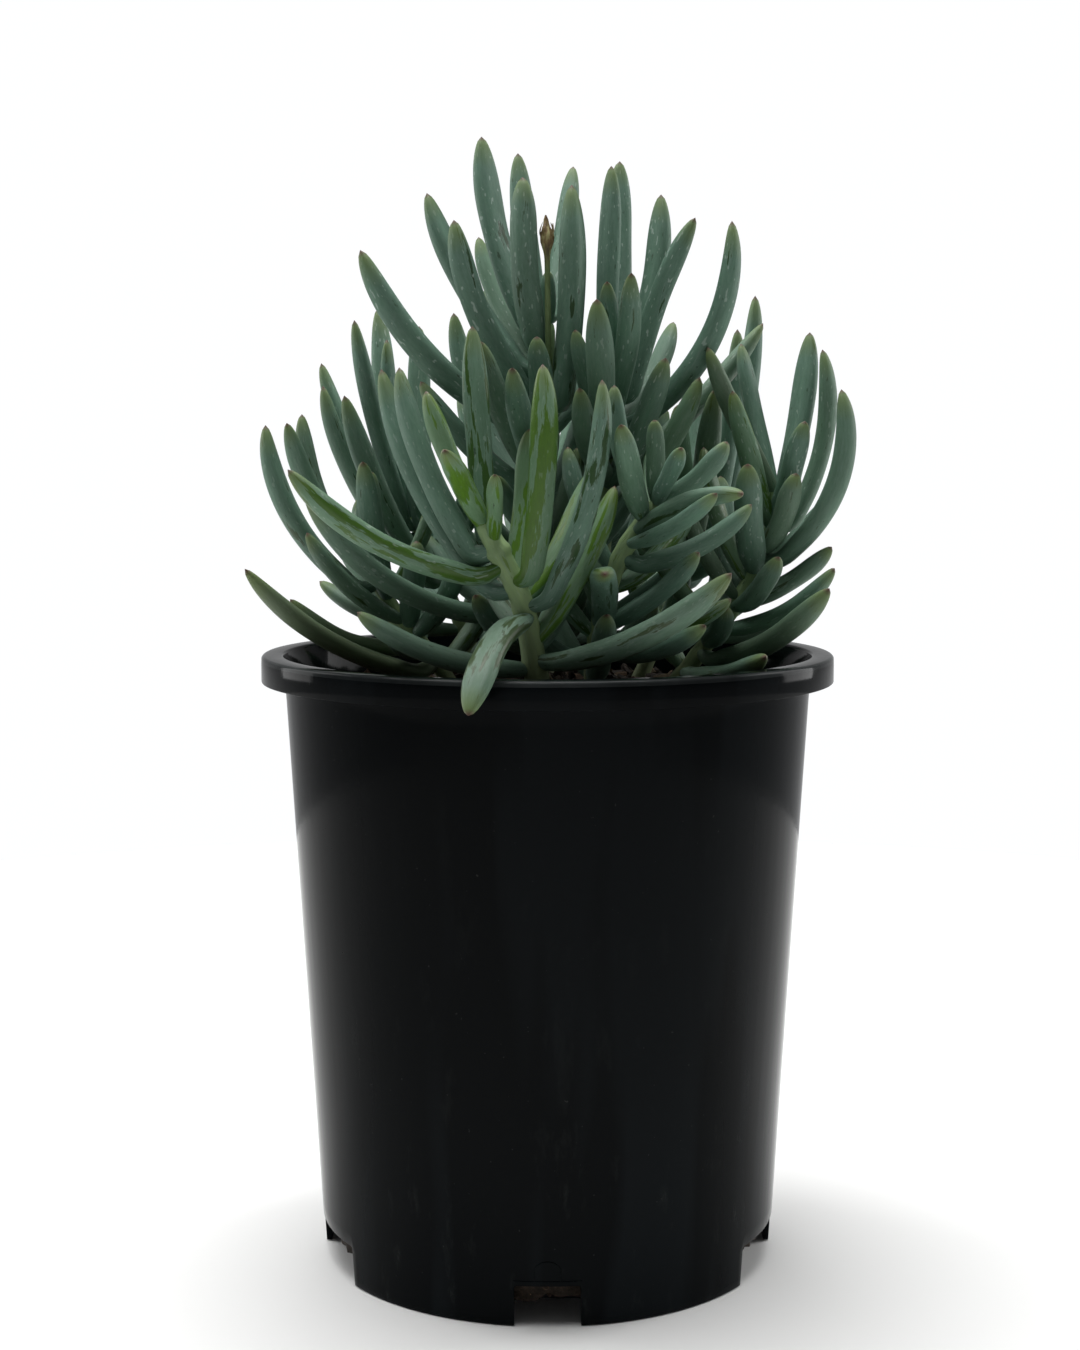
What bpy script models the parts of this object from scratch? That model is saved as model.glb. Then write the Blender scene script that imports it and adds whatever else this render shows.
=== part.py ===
"""Blue chalk sticks, a succulent with upright finger-like leaves, in a slimline black nursery pot.

Built in metres, +Z up, with the origin on the pot's axis in the plane of its foot. The pot is a turned
shell with drainage notches, the potting mix fills it to just under the rim, and nine shoots root in
the mix. A shoot is one grown piece with its young leaves; the full-grown leaves are pieces of their own.
"""

import math

import bmesh
import bpy
import numpy as np
from mathutils import Vector

MM = 0.001

# The pot: a 140 mm nursery pot, 152 mm across its rolled rim.
POT_HEIGHT = 162 * MM
RIM_RADIUS = 76 * MM
RIM_BAND = 7 * MM
MOUTH_RADIUS = 70 * MM
BODY_RADIUS = 70.2 * MM
FOOT_RADIUS = 60.6 * MM
WALL = 1.4 * MM
BASE_RAISED = 4 * MM
BASE_THICK = 1.5 * MM
POT_STEPS = 48
WALL_RINGS = (120 * MM, 80 * MM, 40 * MM, 14 * MM)

# The drainage notches: a narrow one in front and four wide ones, through the wall and the base's edge.
NOTCH_HEIGHT = 10.4 * MM
NOTCH_REACH = 8 * MM
NOTCHES = ((-90, 16.5 * MM), (-18, 34 * MM), (54, 34 * MM), (126, 34 * MM), (198, 34 * MM))

# The potting mix, and the sockets in it that the stems stand in.
GAP = 0.3 * MM
MIX_LEVEL = 150 * MM
MIX_CROWN = 2.5 * MM
MIX_SIDE_GAP = 1.2 * MM
MIX_SHOULDER = 4 * MM
SOCKET_DRILL = 24 * MM
SOCKET_SIDES = 12
SOCKET_ROOM = 0.9 * MM

# Stems and leaves.
STEM_SIDES = 2
LEAF_SIDES = 1
STEM_POINTS = 8
STEM_END = 0.6
LEAF_CLEARANCE = 0.42 * MM
BASE_SHARE = 0.5
TIP_RADIUS = 0.03 * MM
NEARBY = 50 * MM
MOST_SWING = 20
SIDE_REACH = 77 * MM
BACK_REACH = 85 * MM
LEAF_SAMPLES = 26
CURVE_SPLITS = 12
NOTED_STEM_POINTS = 60

# How many samples of a joined leaf's foot may sit in its stem, and how many among its sisters' feet.
FOOT_IN_STEM = 2
FOOT_AMONG_SISTERS = 6

# Each shoot: the points that its stem passes through (x, y, z in mm) and its lower and upper radius.
STEMS = {
    "main": (((-2, 3, 144), (-3, 2, 180), (-1, 0, 225), (0, 0, 250)), 3.0, 2.1),
    "twin": (((12, 9, 144), (14, 7, 180), (17, 4, 218), (18, 3, 243)), 2.6, 1.9),
    "front": (((-1, -42, 144), (-3, -45, 162), (-6, -47, 178), (-11, -49, 189), (-16, -50, 199)), 3.2, 2.5),
    "front_right": (((11, -22, 144), (13, -25, 168), (18, -29, 188), (28, -31, 203)), 2.9, 2.1),
    "left": (((-22, 8, 144), (-30, 8, 158), (-42, 6, 174), (-50, 5, 188)), 2.3, 1.7),
    "back_left": (((-16, 24, 144), (-26, 28, 172), (-38, 29, 198)), 2.3, 1.7),
    "right": (((26, 3, 144), (38, 2, 158), (51, 0, 176), (59, -2, 194), (60, -3, 206)), 2.5, 1.7),
    "back_right": (((22, 26, 144), (33, 31, 168), (45, 33, 198)), 2.3, 1.7),
    "back": (((0, 40, 144), (-1, 47, 170), (-2, 50, 202)), 2.3, 1.7),
}

# A leaf: where on the stem it grows (height, mm), its heading (degrees from +X towards +Y), its rise
# above the level (degrees), its length and width (mm), and how far it bows (mm): a positive bow
# turns the tip up, a negative one lets it droop.
GROWN = {
    "main": (
        (246, 145, 68, 57, 7.8, 3),
        (244, 108, 64, 58, 6.6, 2),
        (242, 246, 71, 46, 7.6, 2),
        (238, 125, 48, 48, 6.2, 3),
        (236, 170, 56, 57, 7.6, 3),
        (230, 213, 58, 52, 7.8, 4),
        (222, 192, 43, 66, 8.0, 6),
        (250, 76, 56, 52, 5.6, 1),
        (226, 300, 76, 60, 8.2, 2),
        (205, 137, 56, 58, 6.4, 5),
        (172, 209, 26, 74, 7.6, 9),
    ),
    "twin": (
        (242, 85, 70, 55, 6.8, 1),
        (238, 105, 85, 52, 6.4, 2),
        (233, 35, 73, 53, 7.4, 2),
        (229, 0, 66, 51, 6.6, -2),
        (222, 338, 58, 62, 7.6, 9),
        (215, 262, 50, 50, 7.0, 4),
        (211, 14, 42, 58, 6.6, 2),
    ),
    "front": (
        (192, 115, 75, 56, 6.6, 1),
        (189, 160, 60, 54, 7.8, 3),
        (184, 157, 54, 64, 7.4, 5),
        (184, 316, 79, 53, 6.8, 3),
        (178, 346, 70, 58, 7.2, 4),
        (187, 190, 24, 59, 7.0, 5),
        (174, 252, -24, 46, 7.6, -5),
        (164, 336, 24, 56, 7.4, 4),
    ),
    "front_right": (
        (172, 270, 22, 38, 6.4, -4),
        (187, 0, 24, 37, 6.6, 3),
        (165, 308, 12, 42, 6.0, 3),
    ),
    "left": (
        (178, 194, 55, 54, 6.8, 6),
        (186, 168, 66, 43, 6.2, 3),
        (163, 205, 20, 40, 5.8, 4),
        (160, 212, 24, 63, 7.0, 5),
    ),
    "back_left": (
        (188, 167, 60, 60, 6.2, 3),
        (184, 190, 58, 58, 6.4, 4),
        (180, 207, 60, 58, 6.8, 3),
        (194, 184, 74, 59, 6.2, 1),
        (196, 155, 77, 62, 7.0, 2),
    ),
    "right": (
        (202, 50, 70, 48, 6.8, 2),
        (195, 10, 74, 49, 6.8, 5),
        (186, 341, 65, 50, 7.0, 8),
        (160, 311, 24, 52, 6.8, 4),
        (158, 292, 8, 48, 6.6, 2),
    ),
    "back_right": (
        (194, 5, 78, 66, 6.6, 2),
        (190, 325, 78, 60, 6.8, 2),
        (178, 60, 46, 56, 7.4, 4),
    ),
    "back": (
        (199, 100, 66, 54, 7.4, 3),
        (184, 60, 48, 56, 7.2, 5),
    ),
}

YOUNG = {
    "main": (
        (240, 78, 66, 38, 5.8, 1),
        (226, 125, 50, 44, 6.0, 2),
        (207, 240, 50, 47, 6.6, 3),
        (212, 258, 36, 40, 6.2, 4),
        (200, 126, 53, 58, 5.8, 3),
        (204, 199, 42, 44, 6.8, 3),
        (186, 272, 40, 38, 6.2, 4),
        (180, 340, 45, 40, 6.0, 4),
        (218, 30, 60, 40, 6.0, 3),
        (190, 60, 45, 42, 6.4, 3),
        (168, 150, 35, 44, 6.4, 4),
        (162, 240, 28, 36, 6.0, 3),
        (172, 20, 45, 40, 6.2, 3),
    ),
    "twin": (
        (229, 262, 60, 34, 5.2, 1),
        (224, 283, 64, 40, 5.8, 2),
        (219, 245, 50, 36, 5.2, 3),
        (210, 255, 34, 38, 6.0, 4),
        (206, 303, 52, 42, 6.8, 3),
        (198, 350, 56, 44, 6.4, 3),
        (222, 51, 46, 40, 6.4, 3),
        (213, 75, 60, 44, 6.2, 3),
        (190, 60, 40, 42, 6.4, 4),
        (176, 120, 50, 40, 6.2, 3),
        (170, 350, 40, 38, 6.2, 3),
        (166, 270, 30, 30, 6.0, 3),
    ),
    "front": (
        (195, 189, 66, 38, 6.4, 1),
        (198, 224, 57, 21, 5.6, 0),
        (182, 78, 68, 42, 6.6, 2),
        (162, 184, 18, 46, 7.0, 4),
        (168, 4, 62, 44, 6.8, 2),
        (170, 120, 40, 34, 6.0, 3),
        (166, 60, 50, 36, 6.4, 3),
        (176, 30, 60, 40, 6.4, 2),
    ),
    "front_right": (
        (199, 205, 74, 34, 5.8, 2),
        (194, 245, 60, 32, 5.8, 2),
        (202, 263, 74, 22, 4.6, 0),
        (202, 290, 45, 20, 4.4, 0),
        (200, 335, 46, 26, 6.2, 2),
        (197, 327, 16, 30, 5.8, -3),
        (192, 306, 22, 36, 5.0, 2),
        (176, 244, 66, 30, 6.6, 2),
        (180, 30, 40, 34, 5.8, 3),
        (166, 350, 20, 36, 6.4, 3),
        (162, 225, 25, 28, 6.0, 3),
    ),
    "left": (
        (187, 190, 63, 40, 5.6, 3),
        (186, 280, 54, 30, 6.6, 3),
        (178, 262, 56, 42, 6.0, 2),
        (170, 130, 40, 40, 6.4, 3),
        (176, 350, 66, 34, 6.0, 2),
        (166, 300, 40, 34, 6.0, 3),
        (164, 100, 30, 36, 6.2, 3),
        (172, 220, 36, 38, 6.4, 3),
        (160, 255, 20, 34, 6.0, 3),
    ),
    "back_left": (
        (192, 250, 70, 40, 5.6, 2),
        (197, 215, 80, 50, 5.8, 2),
        (196, 92, 78, 56, 6.4, 1),
        (190, 110, 52, 48, 6.8, 4),
        (176, 60, 48, 44, 6.4, 4),
        (170, 120, 30, 46, 6.6, 4),
        (168, 165, 14, 44, 6.4, 4),
        (166, 80, 30, 40, 6.4, 3),
        (184, 20, 60, 36, 6.2, 2),
    ),
    "right": (
        (205, 200, 62, 42, 5.8, 1),
        (205, 203, 77, 40, 5.8, 1),
        (199, 43, 68, 26, 6.0, 1),
        (184, 260, 48, 38, 7.2, 3),
        (190, 256, 58, 26, 6.2, 2),
        (168, 321, 26, 40, 6.4, 4),
        (170, 294, 38, 30, 6.0, 3),
        (172, 60, 40, 40, 6.6, 4),
        (166, 20, 24, 36, 6.4, 4),
        (178, 100, 50, 40, 6.4, 3),
        (176, 200, 60, 36, 6.2, 2),
    ),
    "back_right": (
        (188, 285, 66, 48, 6.2, 2),
        (182, 295, 54, 42, 6.4, 3),
        (190, 240, 72, 40, 6.2, 2),
        (176, 300, 36, 32, 5.8, 3),
        (194, 90, 66, 46, 6.6, 3),
        (168, 20, 30, 46, 6.8, 4),
        (170, 100, 26, 46, 6.6, 4),
        (186, 120, 58, 44, 6.4, 3),
        (164, 60, 20, 42, 6.6, 4),
        (176, 350, 50, 40, 6.4, 3),
        (160, 140, 20, 40, 6.4, 3),
    ),
    "back": (
        (200, 30, 70, 44, 6.4, 2),
        (201, 170, 70, 46, 6.4, 2),
        (192, 140, 52, 52, 7.0, 4),
        (188, 220, 66, 50, 6.4, 2),
        (190, 330, 68, 48, 6.2, 2),
        (178, 105, 36, 48, 7.0, 5),
        (170, 150, 26, 48, 6.8, 4),
        (168, 60, 24, 48, 6.8, 4),
        (176, 20, 40, 44, 6.8, 4),
        (174, 190, 40, 46, 6.8, 4),
        (162, 40, 16, 44, 6.8, 4),
        (160, 130, 14, 46, 6.8, 4),
    ),
}

# The small leaves that crowd round each growing tip.
CROWN_COUNT = 2
CROWN_TURN = 137.5
CROWN_RISE = 84
CROWN_LENGTH = 15
CROWN_WIDTH = 3.8

# The short leaves that fill the inside of the plant, all the way up each stem (mm and degrees).
INNER_FOOT = 157
INNER_STOP = 8
INNER_STEP = 3.5
INNER_LENGTHS = (34, 26, 30, 38)
INNER_RISES = (55, 35, 68)
INNER_WIDTH = 6.0
INNER_BOW = 2
INNER_TRIES = 60

# The dried flower that stands in the main shoot: its stalk's points (mm) and its radii (mm).
FLOWER_LINE = (
    (0.6, -7.0, 241),
    (0.3, -8.4, 254),
    (0.0, -8.8, 265),
    (-0.1, -8.8, 269),
    (-0.2, -8.8, 273),
    (-0.3, -9.0, 277),
)
FLOWER_RADII = (0.9, 0.8, 0.9, 1.7, 1.9, 0.7)

GREENS = {
    "leaf": (0.20, 0.31, 0.27),
    "shoot": (0.27, 0.37, 0.22),
    "flower": (0.33, 0.23, 0.12),
    "mix": (0.035, 0.025, 0.018),
    "pot": (0.008, 0.010, 0.010),
}


def start_clean():
    """Remove what the scene holds, and make a collection for the plant and one for the cutters."""
    for thing in list(bpy.data.objects):
        bpy.data.objects.remove(thing, do_unlink=True)
    kept = bpy.data.collections.new("potted_chalk_sticks")
    cutters = bpy.data.collections.new("cutters")
    for group in (kept, cutters):
        bpy.context.scene.collection.children.link(group)
    return kept, cutters


def material(name, colour, roughness):
    """A Principled BSDF in one colour."""
    made = bpy.data.materials.new(name)
    made.use_nodes = True
    shader = made.node_tree.nodes["Principled BSDF"]
    shader.inputs["Base Color"].default_value = (*colour, 1.0)
    shader.inputs["Roughness"].default_value = roughness
    shader.inputs["Metallic"].default_value = 0.0
    return made


def as_cutter(thing, cutters):
    """Keep a tool for a Boolean out of the model and out of the render."""
    for group in thing.users_collection:
        group.objects.unlink(thing)
    cutters.objects.link(thing)
    thing.hide_render = True
    thing.display_type = "WIRE"


def turned(name, profile):
    """A profile in the XZ plane, running down its outer side, turned once about Z."""
    mesh = bpy.data.meshes.new(name)
    points = [(x, 0.0, z) for x, z in profile]
    mesh.from_pydata(points, [(i, i + 1) for i in range(len(points) - 1)], [])
    thing = bpy.data.objects.new(name, mesh)
    screw = thing.modifiers.new("turn", "SCREW")
    screw.steps = POT_STEPS
    screw.render_steps = POT_STEPS
    screw.use_merge_vertices = True
    screw.merge_threshold = 0.00001
    return thing


def pot_profile():
    """The pot's wall, from the middle of the base inside, over the rolled rim, to the underside."""
    top = POT_HEIGHT
    edge = 0.4 * WALL
    under_band = top - RIM_BAND
    inside_foot = FOOT_RADIUS - WALL
    base_top = BASE_RAISED + BASE_THICK
    return (
        (0.0, base_top),
        (inside_foot - 1 * MM, base_top),
        (inside_foot + 0.4 * MM, base_top + 1 * MM),
        (MOUTH_RADIUS - 1.2 * MM, top - 3 * MM),
        (MOUTH_RADIUS - 0.7 * MM, top - 1 * MM),
        (MOUTH_RADIUS, top),
        (RIM_RADIUS - 2 * edge, top),
        (RIM_RADIUS - 0.5 * edge, top - 0.5 * edge),
        (RIM_RADIUS, top - 2 * edge),
        (RIM_RADIUS, under_band),
        (RIM_RADIUS - WALL, under_band),
        (RIM_RADIUS - WALL, top - WALL - 0.4 * MM),
        (BODY_RADIUS + 0.6 * MM, top - WALL - 0.4 * MM),
        (BODY_RADIUS, top - 3 * MM),
        *((FOOT_RADIUS + (BODY_RADIUS - FOOT_RADIUS) * z / top, z) for z in WALL_RINGS),
        (FOOT_RADIUS, 0.0),
        (inside_foot, 0.0),
        (inside_foot, BASE_RAISED),
        (0.0, BASE_RAISED),
    )


def notch_cutter(angle, width):
    """A block that cuts one drainage notch through the wall and the edge of the base."""
    inner = FOOT_RADIUS - NOTCH_REACH
    outer = FOOT_RADIUS + 4 * MM
    bpy.ops.mesh.primitive_cube_add(size=1)
    block = bpy.context.active_object
    block.name = f"notch_{angle % 360}"
    for corner in block.data.vertices:
        corner.co.x = inner + (corner.co.x + 0.5) * (outer - inner)
        corner.co.y *= width
        corner.co.z = (corner.co.z + 0.5) * (NOTCH_HEIGHT + 2 * MM) - 2 * MM
    block.rotation_euler.z = math.radians(angle)
    return block


def make_pot(kept, cutters, finish):
    """The nursery pot, its notches cut."""
    pot = turned("pot", pot_profile())
    pot.data.materials.append(finish)
    kept.objects.link(pot)
    for angle, width in NOTCHES:
        block = notch_cutter(angle, width)
        as_cutter(block, cutters)
        cut = pot.modifiers.new(block.name, "BOOLEAN")
        cut.operation = "DIFFERENCE"
        cut.solver = "EXACT"
        cut.object = block
    return pot


def inner_wall(height):
    """The radius of the pot's inside at a height, a little in from the wall."""
    low = FOOT_RADIUS - WALL
    high = MOUTH_RADIUS - 1.2 * MM
    return low + (high - low) * (height - BASE_RAISED) / (POT_HEIGHT - 3 * MM - BASE_RAISED)


def make_mix(kept, cutters, finish):
    """The potting mix, crowned in the middle, with a socket for each stem."""
    floor = BASE_RAISED + BASE_THICK + GAP
    side = MIX_SIDE_GAP
    profile = (
        (0.0, MIX_LEVEL + MIX_CROWN),
        (30 * MM, MIX_LEVEL + 0.8 * MIX_CROWN),
        (inner_wall(MIX_LEVEL) - side - MIX_SHOULDER, MIX_LEVEL),
        (inner_wall(MIX_LEVEL) - side, MIX_LEVEL - 2 * MM),
        (inner_wall(floor) - side, floor + 2 * MM),
        (inner_wall(floor) - side - 2 * MM, floor),
        (0.0, floor),
    )
    mix = turned("potting_mix", profile)
    mix.data.materials.append(finish)
    kept.objects.link(mix)
    for name, (points, lower, _) in STEMS.items():
        line = smooth_line([Vector(p) * MM for p in points], STEM_POINTS)
        lean = (line[1] - line[0]).normalized()
        wide = lower * MM + SOCKET_ROOM
        bpy.ops.mesh.primitive_cylinder_add(vertices=SOCKET_SIDES, radius=wide, depth=SOCKET_DRILL)
        drill = bpy.context.active_object
        drill.name = f"{name}_socket"
        drill.rotation_mode = "QUATERNION"
        drill.rotation_quaternion = lean.to_track_quat("Z", "Y")
        drill.location = line[0] + (SOCKET_DRILL / 2 - GAP) * lean
        as_cutter(drill, cutters)
        cut = mix.modifiers.new(drill.name, "BOOLEAN")
        cut.operation = "DIFFERENCE"
        cut.solver = "EXACT"
        cut.object = drill
    return mix


def smooth_line(points, count):
    """Evenly spaced points on the smooth curve through a few given ones."""
    knots = [Vector(p) for p in points]
    knots = [2 * knots[0] - knots[1], *knots, 2 * knots[-1] - knots[-2]]
    dense = []
    for a, b, c, d in zip(knots, knots[1:], knots[2:], knots[3:]):
        for step in range(CURVE_SPLITS):
            t = step / CURVE_SPLITS
            bend = 2 * a - 5 * b + 4 * c - d
            dense.append(0.5 * (2 * b + t * (c - a) + t * t * bend + t**3 * (3 * b - a - 3 * c + d)))
    dense.append(knots[-2])
    run = [0.0]
    for a, b in zip(dense, dense[1:]):
        run.append(run[-1] + (b - a).length)
    places = np.linspace(0.0, run[-1], count)
    return [Vector(np.interp(s, run, [p[axis] for p in dense]) for axis in range(3)) for s in places]


def tube(name, points, radii, sides, finish):
    """A round, capped tube of changing radius, as a closed mesh."""
    curve = bpy.data.curves.new(name, "CURVE")
    curve.dimensions = "3D"
    curve.bevel_depth = 1.0
    curve.bevel_resolution = sides
    curve.use_fill_caps = True
    spline = curve.splines.new("POLY")
    spline.points.add(len(points) - 1)
    for knot, place, radius in zip(spline.points, points, radii):
        knot.co = (*place, 1.0)
        knot.radius = radius
    drawn = bpy.data.objects.new(name + "_line", curve)
    bpy.context.scene.collection.objects.link(drawn)
    ready = drawn.evaluated_get(bpy.context.evaluated_depsgraph_get())
    mesh = bpy.data.meshes.new_from_object(ready)
    bpy.data.objects.remove(drawn, do_unlink=True)
    bpy.data.curves.remove(curve)
    weld_caps(mesh)
    mesh.name = name
    mesh.materials.clear()
    mesh.materials.append(finish)
    mesh.shade_smooth()
    return bpy.data.objects.new(name, mesh)


def weld_caps(mesh):
    """Join a tube's loose caps to its side, and turn its faces outwards."""
    work = bmesh.new()
    work.from_mesh(mesh)
    bmesh.ops.remove_doubles(work, verts=work.verts, dist=0.1 * MM)
    bmesh.ops.recalc_face_normals(work, faces=work.faces)
    work.to_mesh(mesh)
    work.free()


class Thicket:
    """What stands in the way of the next leaf: the pot's rim, the mix, and every line placed so far."""

    def __init__(self):
        self.points = []
        self.radii = []
        self.owners = []
        self.joined_count = 0

    def add(self, owner, points, radii):
        self.points.append(np.array(points))
        self.radii.append(np.array(radii))
        self.owners.append(np.full(len(points), owner))

    def room(self, points, radii, kin):
        """The least gap from a line to all else, leaving out the kin that it may touch."""
        gap = self.pot_gap(points, radii)
        if gap < LEAF_CLEARANCE:
            return gap
        others, wide, owners = self.near(points.mean(axis=0))
        keep = ~np.isin(owners, kin)
        if not keep.any():
            return gap
        apart = np.linalg.norm(points[:, None, :] - others[None, keep, :], axis=2)
        return min(gap, float((apart - radii[:, None] - wide[None, keep]).min()))

    def near(self, centre):
        """The placed balls near a point."""
        if len(self.points) != self.joined_count:
            self.joined_count = len(self.points)
            self.all_points = np.concatenate(self.points)
            self.all_radii = np.concatenate(self.radii)
            self.all_owners = np.concatenate(self.owners)
        close = np.abs(self.all_points - centre).max(axis=1) < NEARBY
        return self.all_points[close], self.all_radii[close], self.all_owners[close]

    @staticmethod
    def pot_gap(points, radii):
        """The least gap from a line of balls to the rolled rim, the wall and the mix."""
        out = np.hypot(points[:, 0], points[:, 1])
        beside = np.maximum(np.maximum(MOUTH_RADIUS - 1.2 * MM - out, out - RIM_RADIUS), 0.0)
        above = np.maximum(points[:, 2] - POT_HEIGHT, 0.0)
        rim = (np.hypot(beside, above) - radii).min()
        level = MIX_LEVEL + MIX_CROWN
        mix = np.where(out < MOUTH_RADIUS, points[:, 2] - level - radii, 1.0).min()
        return float(min(rim, mix))


def leaf_line(base, tip, bow, count):
    """A bowed line from a leaf's base to its tip."""
    along = (tip - base).normalized()
    up = Vector((0, 0, 1)) - along.z * along
    up = up.normalized() if up.length > 0.05 else Vector((0, 0, 0))
    middle = (base + tip) / 2 - 2 * bow * up
    line = []
    for t in np.linspace(0.0, 1.0, count):
        t = float(t)
        line.append((1 - t) ** 2 * base + 2 * t * (1 - t) * middle + t * t * tip)
    return line


def leaf_girth(share):
    """How wide a leaf is along its length, as a share of its widest."""
    stations = (0.0, 0.14, 0.34, 0.58, 0.78, 0.92, 0.975, 1.0)
    girths = (BASE_SHARE, 0.78, 0.97, 1.0, 0.90, 0.66, 0.42, 0.0)
    return float(np.interp(share, stations, girths))


def stem_at(line, height):
    """The point on a stem's line at a height."""
    heights = [p.z for p in line]
    return Vector(float(np.interp(height, heights, [p[axis] for p in line])) for axis in range(3))


def swings():
    """Ways to nudge a leaf until it has room: its tip forwards or back, its foot up or down, and out."""
    moves = []
    for depth in range(0, MOST_SWING + 1, 2):
        for side in ((0,) if depth == 0 else (-depth, depth)):
            for lift in (0, 2, -2, 4, -4):
                for stand in (0.0, 1.0, 2.0):
                    cost = abs(side) + 1.5 * abs(lift) + 4 * stand
                    moves.append((cost, side * MM, lift * MM, stand * MM))
    return sorted(moves)


MOVES = swings()


def settle(thicket, stem_line, stem_radius, row, joined, shoot, moves):
    """Find the leaf's line nearest to the wanted one that clears everything around it."""
    height, heading, rise, length, width, bow = row
    reach = width * MM / 2
    girth = np.array([reach * leaf_girth(s) for s in np.linspace(0, 1, LEAF_SAMPLES)])
    best = None
    for _, depth, lift, stand in moves:
        root = stem_at(stem_line, height * MM + lift)
        level = math.cos(math.radians(rise)) * length * MM
        tip = root + Vector(
            (
                level * math.cos(math.radians(heading)),
                level * math.sin(math.radians(heading)) + depth,
                math.sin(math.radians(rise)) * length * MM - lift,
            )
        )
        tip.x = max(-SIDE_REACH, min(tip.x, SIDE_REACH))
        tip.y = min(tip.y, BACK_REACH)
        side = Vector((tip.x - root.x, tip.y - root.y, 0.0)).normalized()
        base = root
        if not joined:
            base = root + side * (stem_radius + reach * BASE_SHARE + LEAF_CLEARANCE + GAP + stand)
        line = leaf_line(base, tip, bow * MM, LEAF_SAMPLES)
        points = np.array(line)
        if joined:
            near, past = FOOT_IN_STEM, FOOT_AMONG_SISTERS
            room = thicket.room(points[near:], girth[near:], (shoot, f"{shoot}_young"))
            room = min(room, thicket.room(points[past:], girth[past:], (shoot,)))
        else:
            room = thicket.room(points, girth, ())
        if best is None or room > best[0]:
            best = (room, line)
        if room >= LEAF_CLEARANCE:
            return line, room
    return best[1], best[0]


def leaf_object(name, line, width, stations, finish):
    """A leaf's solid along its line, with a ring at each station and a pointed tip."""
    last = len(line) - 1
    points = []
    radii = []
    for share in stations:
        spot = share * last
        low = min(int(spot), last - 1)
        points.append(line[low].lerp(line[low + 1], spot - low))
        radii.append(max(width * MM / 2 * leaf_girth(share), TIP_RADIUS))
    return tube(name, points, radii, LEAF_SIDES, finish)


GROWN_STATIONS = (0.0, 0.16, 0.4, 0.64, 0.84, 0.95, 1.0)
YOUNG_STATIONS = (0.0, 0.3, 0.62, 0.9, 1.0)


def make_stems(thicket):
    """The stems' lines and radii, all placed before any leaf."""
    stems = {}
    for name, (points, lower, upper) in STEMS.items():
        line = smooth_line([Vector(p) * MM for p in points], STEM_POINTS)
        radii = [float(r) * MM for r in np.linspace(lower, upper, STEM_POINTS)]
        radii[-1] *= STEM_END
        stems[name] = (line, radii)
        fine = smooth_line([Vector(p) * MM for p in points], NOTED_STEM_POINTS)
        shares = np.linspace(0, 1, NOTED_STEM_POINTS)
        fine_radii = np.interp(shares, np.linspace(0, 1, STEM_POINTS), radii)
        thicket.add(name, fine, fine_radii)
    return stems


def radius_at(stem, height):
    """A stem's radius at a height."""
    line, radii = stem
    return float(np.interp(height, [p.z for p in line], radii))


def note_leaf(thicket, owner, line, width):
    """Record a placed leaf, so that the next ones keep clear of it."""
    shares = np.linspace(0, 1, len(line))
    thicket.add(owner, line, [width * MM / 2 * leaf_girth(s) for s in shares])


def crown_rows(stem, name):
    """The small leaves round a growing tip, each a fixed turn on from the last."""
    top = stem[0][-1].z / MM
    first = 40 * sum(map(ord, name)) % 360
    rows = []
    for index in range(CROWN_COUNT):
        length = CROWN_LENGTH - 2 * index
        rows.append((top - 2.5 + 0.5 * index, first + CROWN_TURN * index, CROWN_RISE, length, CROWN_WIDTH, 0))
    return rows


def inner_rows(stem, name):
    """Short leaves all the way up a stem, each a fixed turn on from the last."""
    top = stem[0][-1].z / MM
    first = 70 * sum(map(ord, name)) % 360
    rows = []
    for index, height in enumerate(np.arange(INNER_FOOT, top - INNER_STOP, INNER_STEP)):
        length = INNER_LENGTHS[index % len(INNER_LENGTHS)]
        rise = INNER_RISES[index % len(INNER_RISES)]
        rows.append((float(height), first + CROWN_TURN * index, rise, length, INNER_WIDTH, INNER_BOW))
    return rows


def make_leaves(thicket, stems, kept, finish):
    """The full-grown leaves, each its own piece, a hair clear of its stem."""
    for shoot, rows in GROWN.items():
        for index, row in enumerate(rows, 1):
            name = f"{shoot}_leaf_{index:02d}"
            wide = radius_at(stems[shoot], row[0] * MM)
            line, _ = settle(thicket, stems[shoot][0], wide, row, False, shoot, MOVES)
            note_leaf(thicket, name, line, row[4])
            kept.objects.link(leaf_object(name, line, row[4], GROWN_STATIONS, finish))


def make_shoots(thicket, stems, kept, cutters, finish):
    """Each shoot: its stem with its young leaves joined on as one grown piece.

    A young leaf that finds no room among those already there is not grown."""
    for shoot, (line, radii) in stems.items():
        stem = tube(f"{shoot}_shoot", line, radii, STEM_SIDES, finish)
        kept.objects.link(stem)
        young = bpy.data.collections.new(f"{shoot}_young")
        cutters.children.link(young)
        wanted = [(row, MOVES) for row in (*YOUNG[shoot], *crown_rows((line, radii), shoot))]
        wanted += [(row, MOVES[:INNER_TRIES]) for row in inner_rows((line, radii), shoot)]
        for index, (row, moves) in enumerate(wanted, 1):
            name = f"{shoot}_young_{index:02d}"
            wide = radius_at((line, radii), row[0] * MM)
            path, room = settle(thicket, line, wide, row, True, shoot, moves)
            if room < LEAF_CLEARANCE:
                continue
            note_leaf(thicket, f"{shoot}_young", path, row[4])
            as_cutter(leaf_object(name, path, row[4], YOUNG_STATIONS, finish), young)
        join = stem.modifiers.new("young_leaves", "BOOLEAN")
        join.operation = "UNION"
        join.solver = "EXACT"
        join.operand_type = "COLLECTION"
        join.collection = young


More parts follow.
